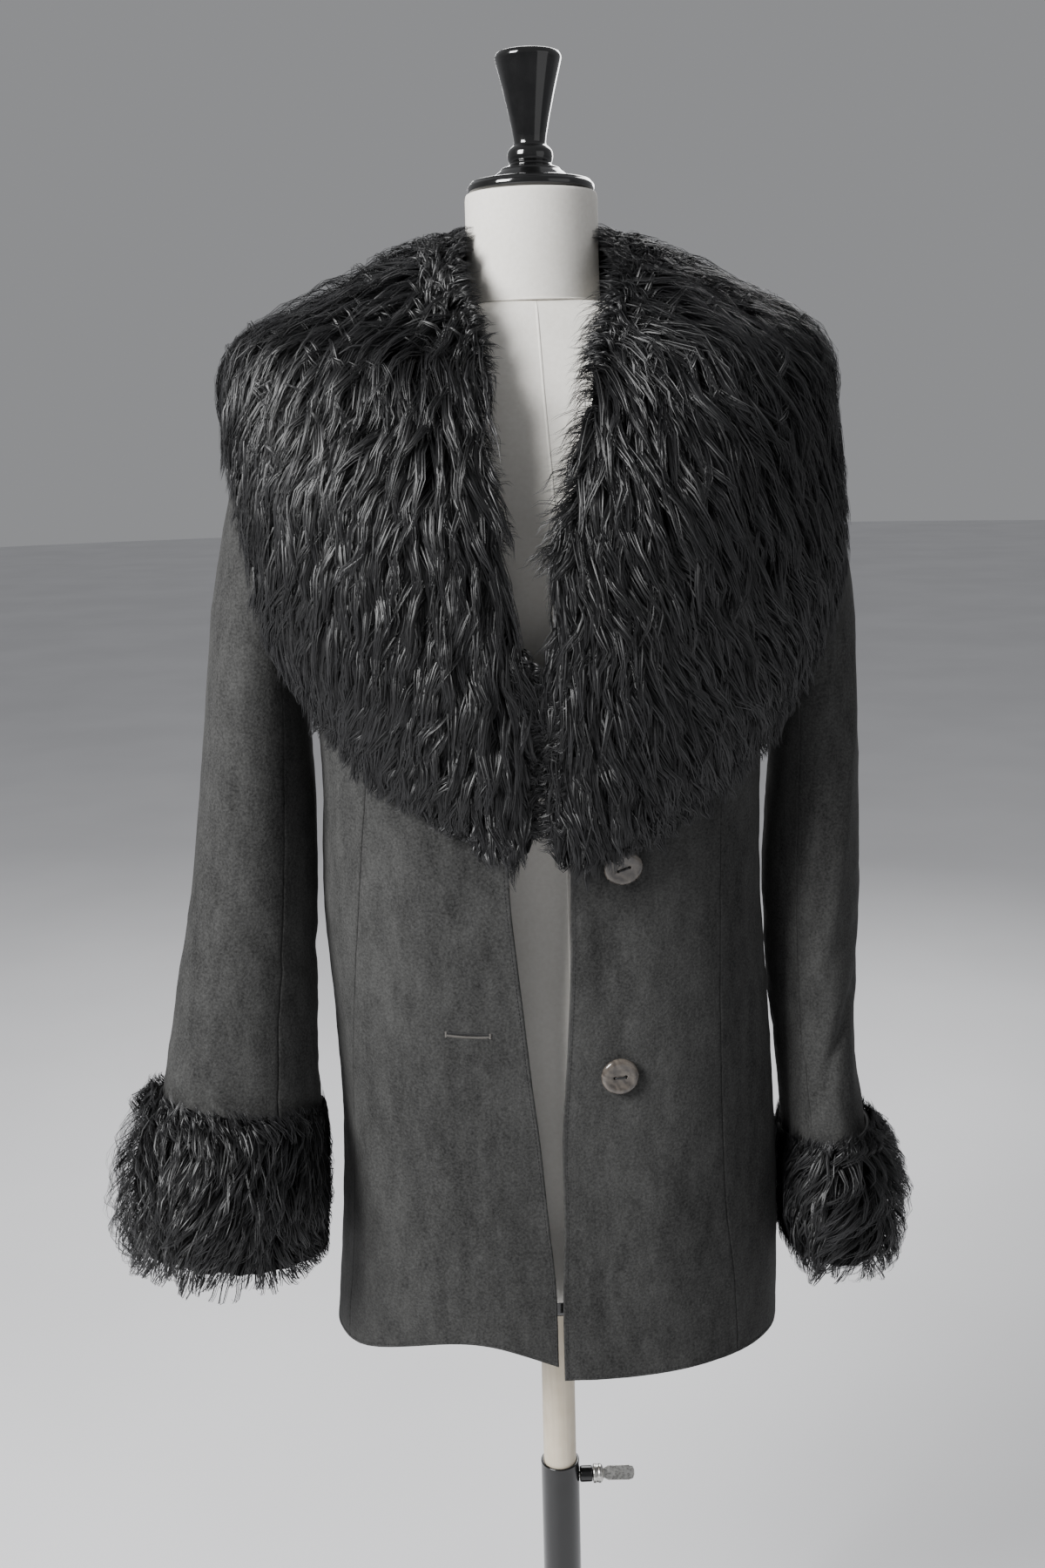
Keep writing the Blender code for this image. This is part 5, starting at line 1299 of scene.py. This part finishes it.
def make_button(name, x, level, lift, lean_degrees, spin_degrees):
    """A horn button: rolled rim, shallow dish, two holes bored through, thread across them."""
    r, t = BUTTON_RADIUS, BUTTON_THICKNESS
    profile = soften(((0.0, 0.0), (0.50 * r, 0.0), (0.80 * r, 0.10 * t), (0.965 * r, 0.34 * t), (r, 0.54 * t),
                      (0.965 * r, 0.74 * t), (0.87 * r, 0.93 * t), (0.74 * r, 0.985 * t), (0.60 * r, 0.93 * t),
                      (0.34 * r, 0.86 * t), (0.0, 0.84 * t)), 0.0016, 3)
    button = turned(name, profile, HORN, "form", node=name.replace("horn_", ""), segments=72)
    for place in (-0.5, 0.5):
        drill_hole(button, 32, 0.00125, 0.03, (place * HOLE_SPACING, 0.0, 0.0))
    arch = np.linspace(-0.5, 0.5, 15)
    threads = []
    for k, shift in enumerate((-0.00045, 0.0, 0.00045)):
        path = np.stack((arch * (HOLE_SPACING + 0.0004), np.full(15, shift),
                         0.86 * t + 0.0001 + 0.00045 * (1.0 - (2.0 * arch) ** 4) + 0.00012 * (k == 1)), axis=-1)
        threads.append(tube("thread", path, 0.00030, BLACK_THREAD, 8))
    thread = join(name.replace("horn_", "") + "_thread", threads)
    degrees = edge_angle(np.array(x), np.array(level))
    point = body_surface(degrees, np.array(level))
    normal = ring_normals(read_body, degrees, np.array(level))
    lean = math.radians(lean_degrees)
    across = unit(np.cross(np.array((0.0, 0.0, 1.0)), normal))
    upward = np.cross(normal, across)
    axis = normal * math.cos(lean) - upward * math.sin(lean)
    turn = np.eye(4)
    turn[:3, 0], turn[:3, 1], turn[:3, 2] = across, np.cross(axis, across), axis
    turn[:3, 3] = point + normal * lift
    matrix = Matrix(turn.tolist()) @ Matrix.Rotation(math.radians(spin_degrees), 4, "Z")
    for piece in (button, thread):
        move_mesh(piece, matrix)
    belong(thread, "form")


def tube(name, path, radius, material, sides=12, flatten=1.0, outward=(0.0, 0.0, 1.0)):
    """A closed tube along a path, its ends drawn in; flatten squashes it towards outward."""
    ahead = unit(np.gradient(path, axis=0))
    side = unit(np.cross(np.broadcast_to(np.array(outward), path.shape), ahead) + 1e-9)
    up = np.cross(ahead, side)
    turns = np.arange(sides) * 2.0 * math.pi / sides
    size = np.ones(len(path))
    size[0] = size[-1] = 0.35
    ring = (side[:, None] * np.cos(turns)[None, :, None] + flatten * up[:, None] * np.sin(turns)[None, :, None])
    return capped(name, path[:, None] + ring * (radius * size)[:, None, None], path[[0, -1]], material)


def join(name, pieces):
    """Join pieces into the first one and name it."""
    pick(pieces[0])
    for piece in pieces[1:]:
        piece.select_set(True)
    bpy.ops.object.join()
    pieces[0].name = name
    pieces[0].data.name = name
    pieces[0].select_set(False)
    return pieces[0]


make_button("horn_button_upper", 0.0518, 0.9970, 0.0022, 14.0, 20.0)
make_button("horn_button_lower", 0.0484, 0.8310, 0.0008, 0.0, 4.0)


# ---- dress form and stand --------------------------------------------------------------------
FORM_BOTTOM = 0.622
NECK_SEAM = 1.398
NECK_TOP = 1.4755
FORM_COLUMNS = 96


def form_ring(level, shrink=1.0, height=None):
    angle = np.arange(FORM_COLUMNS) * 2.0 * math.pi / FORM_COLUMNS
    depth = np.where(np.cos(angle) > 0.0, read_form("front", level), read_form("back", level))
    radius = shrink * plan_radius(angle, read_form("half_width", level), depth, read_form("power", level))
    level = level if height is None else height
    return np.stack((radius * np.sin(angle), -radius * np.cos(angle), np.full(FORM_COLUMNS, level)), axis=-1)


def loft(name, rings, material, node):
    """A closed body through rings of points, with its sharp edges kept."""
    piece = capped(name, rings, (rings[0].mean(axis=0), rings[-1].mean(axis=0)), material)
    pick(piece)
    bpy.ops.object.shade_smooth_by_angle(angle=math.radians(50.0))
    piece.select_set(False)
    return belong(piece, "form", node)


def make_form():
    levels = np.concatenate((np.array((0.6222, 0.6228, 0.6240, 0.6260)), np.linspace(0.632, 1.335, 66),
                             np.linspace(1.3400, NECK_SEAM, 34)))
    torso = loft("calico_torso", [form_ring(level) for level in levels], CALICO, "form_torso")
    add_weave_map(torso, 0.12)
    low = NECK_SEAM + 0.0003
    neck = soften(((0.0, low), (0.0500, low), (0.0497, low + 0.0015), (0.0490, 1.420), (0.0488, 1.470),
                   (0.0486, 1.4735), (0.0478, NECK_TOP), (0.0, NECK_TOP)), 0.0012)
    tall = []
    for a, b in zip(neck, neck[1:]):
        tall.extend(a + (b - a) * t for t in np.linspace(0.0, 1.0, 9 if abs(b[1] - a[1]) > 0.02 else 2)[:-1])
    tall.append(neck[-1])
    add_weave_map(turned("calico_neck", tall, CALICO, "form", node="form_neck", segments=96), 0.05)
    levels = np.linspace(FORM_BOTTOM + 0.004, NECK_SEAM - 0.001, 160)
    x = np.interp(levels, (0.62, 1.20, 1.33, NECK_SEAM), (0.0165, 0.0125, 0.0040, 0.0005))
    half = read_form("half_width", levels)
    power = read_form("power", levels)
    depth = read_form("front", levels) * (1.0 - (np.abs(x) / half) ** power) ** (1.0 / power)
    path = np.stack((x, -depth - 0.0001, levels), axis=-1)
    seam = tube("calico_centre_seam", path, 0.0009, CALICO, 10, 0.45, (0.0, -1.0, 0.0))
    angle = np.linspace(0.0, 2.0 * math.pi, 121)[:-1]
    ring = np.stack((0.0501 * np.cos(angle), 0.0501 * np.sin(angle), np.full(120, NECK_SEAM + 0.0004)), axis=-1)
    turns = np.arange(8) * math.pi / 4.0
    away = np.stack((np.cos(angle), np.sin(angle), np.zeros(120)), axis=-1)
    points = ring[:, None] + 0.00075 * (away[:, None] * np.cos(turns)[None, :, None]
                                        + np.array((0.0, 0.0, 1.0)) * np.sin(turns)[None, :, None])
    quads = grid_quads(121, 8, wrap=True) % 960
    bead = make_mesh("calico_neck_seam", points.reshape(-1, 3), quads, CALICO)
    turn_outward(bead)
    for piece in (seam, bead):
        add_weave_map(piece, 0.08)
        belong(piece, "form")
    base = NECK_TOP + 0.0003
    cap = ((0.0, 0.0), (0.0440, 0.0), (0.0464, 0.0016), (0.0466, 0.0036), (0.0462, 0.0056), (0.0446, 0.0068),
           (0.0436, 0.0084), (0.0330, 0.0095), (0.0290, 0.0106), (0.0255, 0.0135), (0.0222, 0.0158),
           (0.0216, 0.0172), (0.0165, 0.0190), (0.0150, 0.0205), (0.0160, 0.0222), (0.0168, 0.0252),
           (0.0164, 0.0290), (0.0142, 0.0318), (0.0122, 0.0330), (0.0116, 0.0352), (0.0122, 0.0400),
           (0.0145, 0.0520), (0.0190, 0.0720), (0.0236, 0.0900), (0.0243, 0.0930), (0.0228, 0.0962),
           (0.0200, 0.0966), (0.0120, 0.0985), (0.0, 0.0990))
    turned("lacquered_cap", soften([(r, base + z) for r, z in cap], 0.0011, 3), LACQUER, "form",
           node="neck_cap", segments=80)
    top = FORM_BOTTOM - 0.0003
    rings = [form_ring(FORM_BOTTOM, shrink, top + drop) for shrink, drop in
             ((0.935, -0.0140), (0.950, -0.0138), (0.962, -0.0132), (0.973, -0.0118), (0.980, -0.0095),
              (0.984, -0.0060), (0.985, -0.0020), (0.985, -0.0004), (0.983, 0.0))]
    loft("lacquered_base_plate", rings, LACQUER, "form_base_plate")
    pole_top = top - 0.0143
    pole = [(0.0, 0.215), (0.0122, 0.215), (0.0142, 0.217)]
    pole += [(0.0142, z) for z in np.linspace(0.25, 0.58, 12)] + [(0.0142, pole_top), (0.0, pole_top)]
    turned("painted_pole", pole, CREAM, "form", node="pole", segments=64)


def make_stand():
    tube_radius, tube_bore, tube_top = 0.0166, 0.0145, 0.4255
    low = 0.012
    plate = soften(((0.0, 0.0), (0.186, 0.0), (0.190, 0.004), (0.190, low - 0.004), (0.186, low),
                    (0.034, low + 0.004), (0.026, low + 0.012), (0.025, 0.046), (0.023, 0.048),
                    (tube_radius + 0.0004, 0.048), (tube_radius + 0.0004, low), (0.0, low)), 0.0022)
    turned("enamelled_base", plate, ENAMEL, "base", node="stand_base", segments=96)
    profile = ((tube_bore, low + 0.0003), (tube_radius, low + 0.0003), (tube_radius, tube_top - 0.0022),
               (tube_radius + 0.0001, tube_top - 0.0006), (tube_radius - 0.0006, tube_top),
               (tube_bore + 0.0003, tube_top), (tube_bore, tube_top - 0.0006), (tube_bore, low + 0.0003))
    tube_piece = turned("enamelled_tube", soften(profile, 0.0004), ENAMEL, "base",
                        node="stand_tube", segments=80)
    screw_height, screw_radius = 0.4095, 0.0030
    drill_hole(tube_piece, 40, screw_radius + 0.0004, 0.0215, (0.01925, 0.0, screw_height), (0.0, math.pi / 2.0, 0.0))
    to_side = Matrix.Translation((0.0, 0.0, screw_height)) @ Matrix.Rotation(math.pi / 2.0, 4, "Y")
    start, bore = tube_radius + 0.0003, screw_radius + 0.0003
    boss = ((bore, start), (0.0060, start), (0.0068, start + 0.0012), (0.0068, 0.0272), (0.0060, 0.0280),
            (bore + 0.0003, 0.0280), (bore, 0.0277), (bore, start))
    move_mesh(turned("enamelled_boss", soften(boss, 0.0004), ENAMEL, "base",
                     node="clamp_boss", segments=64), to_side)
    tip = 0.0142 + 0.0004
    screw = [(0.0, tip), (0.0022, tip), (screw_radius, tip + 0.0008), (screw_radius, 0.0284), (0.0072, 0.0284),
             (0.0080, 0.0292), (0.0080, 0.0308), (0.0076, 0.0314), (0.0076, 0.0332), (0.0080, 0.0338),
             (0.0080, 0.0352), (0.0068, 0.0368), (0.0040, 0.0380), (0.0, 0.0380)]
    shank = turned("screw_shank", soften(screw, 0.0005), NICKEL, "clamp_screw", segments=64)
    move_mesh(shank, to_side)
    outline = ((0.0355, -0.0030), (0.0385, -0.0042), (0.0420, -0.0060), (0.0600, -0.0062), (0.0636, -0.0052),
               (0.0650, -0.0020), (0.0650, 0.0020), (0.0636, 0.0052), (0.0600, 0.0062), (0.0420, 0.0060),
               (0.0385, 0.0042), (0.0355, 0.0030))
    mesh = bpy.data.meshes.new("screw_wing")
    mesh.from_pydata([(x, y, -0.0014) for x, y in outline], [], [tuple(range(len(outline)))])
    wing = bpy.data.objects.new("screw_wing", mesh)
    bpy.context.scene.collection.objects.link(wing)
    pick(wing)
    bpy.ops.object.mode_set(mode="EDIT")
    bpy.ops.mesh.select_all(action="SELECT")
    bpy.ops.mesh.extrude_region_move(TRANSFORM_OT_translate={"value": (0.0, 0.0, 0.0028)})
    bpy.ops.mesh.select_all(action="SELECT")
    bpy.ops.mesh.normals_make_consistent(inside=False)
    bpy.ops.object.mode_set(mode="OBJECT")
    round_over = wing.modifiers.new("edges", "BEVEL")
    round_over.width, round_over.segments, round_over.limit_method = 0.0008, 4, "ANGLE"
    round_over.angle_limit = math.radians(50.0)
    bpy.ops.object.modifier_apply(modifier="edges")
    bpy.ops.object.shade_smooth_by_angle(angle=math.radians(40.0))
    mesh.materials.append(NICKEL)
    move_mesh(wing, Matrix.Translation((0.0, 0.0, screw_height)) @ Matrix.Rotation(math.radians(60.0), 4, "X"))
    screw_piece = join("plated_thumb_screw", [shank, wing])
    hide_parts("clamp_screw")


make_form()
make_stand()


# ---- fur -------------------------------------------------------------------------------------
HAIR_BUDGET = 14300          # strands to a piece of the collar's hair, 7 triangles each
CUFF_BUDGET = 9300           # strands to a cuff


def strands_per(roots, budget):
    return max(3, int(budget / len(roots[0])))


def leaning_flow(side, outward, upward):
    """Hair that stands over an edge: outward is along x away from the middle, upward along z."""
    def flow(u, v, point, normal):
        away = np.stack((0.0 * u + side * outward, 0.0 * u, 0.0 * u + upward), axis=-1)
        return unit(tangential(away, normal) + 0.0001)

    return flow


def edge_roots(u_range, v_range, count, seed):
    turn = np.random.default_rng(seed)
    return turn.uniform(*u_range, count), v_range[0] + (v_range[1] - v_range[0]) * turn.random(count) ** 1.5


def lengths(shortest, longest, count, seed):
    return np.random.default_rng(seed).uniform(shortest, longest, count)


# short hair that stands over the neck edge and the shoulders: where it starts along the collar, its band
# across the collar, its lean outward and upward, its length and its reach past the edge
EDGE_HAIR = ((0.28, 0.00, 0.05, -1.0, 0.15, 0.030, 0.024), (0.0, 0.00, 0.08, -0.9, 0.6, 0.022, 0.014),
             (0.0, 0.00, 0.16, -0.3, 1.0, 0.022, 0.010), (0.0, 0.06, 0.75, 0.7, 1.0, 0.022, 0.010))


def grow_collar(side_name, side, rows, seed):
    """One half of the collar: its pelt, its underwool, and long locks with shorter hair at the neck edge."""
    pelt = collar_pelt(rows, side)
    pieces = [underfur("underwool_collar_" + side_name, pelt, seed)]
    for part_name, u_range, shift in (("back", (0.0, 0.60), 1), ("front", (0.60, 1.0), 2)):
        roots = scatter(pelt, 0.0074, seed + shift, u_range)
        length = 0.048 + 0.018 * np.random.default_rng(seed + 10 * shift).random(len(roots[0]))
        blocks = [grow_locks(pelt, roots, collar_flow(side), length, 0.98, strands_per(roots, HAIR_BUDGET), 0.00085,
                             0.0050, seed + 20 * shift, 0.018, 0.0017)]
        if part_name == "back":
            for k, (start, low, high, out, up, size, reach) in enumerate(EDGE_HAIR):
                roots = edge_roots((start, 0.60), (low, high), 390, seed + 50 + k)
                length = size * lengths(0.6, 1.15, 390, seed + 60 + k)
                blocks.append(grow_locks(pelt, roots, leaning_flow(side, out, up), length, 1.06, 5, 0.00070, 0.0030,
                                         seed + 70 + k, reach, 0.0016, 3))
        else:
            roots = edge_roots((0.52, 0.76), (0.0, 0.06), 360, seed + 8)
            length = (0.8 + 0.2 * side) * lengths(0.024, 0.052, 360, seed + 9)
            blocks.append(grow_locks(pelt, roots, leaning_flow(side, -1.0, -0.6), length, 0.85, 3, 0.00060, 0.0034,
                                     seed + 11, 0.026 + 0.006 * side, 0.0036))
            # denser hair that closes the foot of the V
            roots = edge_roots((0.86, 1.0), (0.0, 0.14), 320, seed + 12)
            grown = np.clip((roots[0] - 0.84) / 0.08, 0.3, 1.0)
            blocks.append(grow_locks(pelt, roots, leaning_flow(side, -1.0, -0.7),
                                     grown * lengths(0.026, 0.040, 320, seed + 13), 0.90, 7, 0.00080, 0.0042,
                                     seed + 14, 0.026, 0.0022))
        pieces.append(hair_piece("wool_collar_%s_%s" % (side_name, part_name), blocks))
    pelt_skin("pelt_collar_" + side_name, pelt, "collar_fur_" + side_name, pieces)


def grow_cuff(side_name, side, seed):
    """A cuff: its pelt and underwool, locks that hang in swirls, and a fringe that stands at its top."""
    pelt = cuff_pelt(SLEEVES[side_name], side_name)
    wool = underfur("underwool_cuff_" + side_name, pelt, seed)
    roots = scatter(pelt, 0.0062, seed + 1)
    length = 0.026 + 0.010 * np.random.default_rng(seed + 2).random(len(roots[0]))
    blocks = [grow_locks(pelt, roots, cuff_flow, length, 1.04, strands_per(roots, CUFF_BUDGET), 0.00080, 0.0042,
                         seed + 3, 0.007, 0.0018)]
    roots = edge_roots((0.0, 0.16), (0.0, 1.0), 420, seed + 4)
    blocks.append(grow_locks(pelt, roots, leaning_flow(side, 0.4, 1.0), lengths(0.014, 0.027, 420, seed + 5), 1.25, 5,
                             0.00070, 0.0032, seed + 6, 0.012, 0.0020, 3))
    pelt_skin("pelt_cuff_" + side_name, pelt, "cuff_fur_" + side_name,
              [wool, hair_piece("wool_cuff_" + side_name, blocks)])


grow_collar("right", -1.0, COLLAR_RIGHT, 100)
grow_collar("left", 1.0, COLLAR_LEFT, 200)
grow_cuff("right", -1.0, 300)
grow_cuff("left", 1.0, 400)


# ---- studio ----------------------------------------------------------------------------------
def make_studio():
    bpy.ops.mesh.primitive_circle_add(vertices=128, radius=20.0, fill_type="NGON", location=(0.0, 0.0, -0.0005))
    floor = bpy.context.active_object
    floor.name = "studio_floor"
    paper = Surface("pale_studio_floor", "#e2e2e4", Roughness=0.80)
    floor.data.materials.append(paper.done(paper.blend(paper.noise(0.5, 3.0, 0.5), "#dfdfe1", "#e6e6e8")))
    world = bpy.data.worlds.new("studio_surround")
    world.use_nodes = True
    sky = world.node_tree.nodes["Background"]
    sky.inputs["Color"].default_value = linear("#d6d7da")
    sky.inputs["Strength"].default_value = 0.42
    bpy.context.scene.world = world
    lamps = (("key_softbox", (-1.80, -1.35, 2.35), 1.1, 160.0), ("fill_softbox", (1.9, -1.5, 1.5), 1.8, 5.0),
             ("rear_softbox", (0.5, 2.1, 2.3), 1.6, 50.0))
    for name, place, size, power in lamps:
        light = bpy.data.lights.new(name, "AREA")
        light.shape, light.size, light.energy = "SQUARE", size, power
        lamp = bpy.data.objects.new(name, light)
        lamp.location = place
        aim = Vector((0.0, 0.0, 1.0)) - Vector(place)
        lamp.rotation_euler = aim.to_track_quat("-Z", "Y").to_euler()
        bpy.context.scene.collection.objects.link(lamp)


make_studio()
bpy.context.view_layer.update()
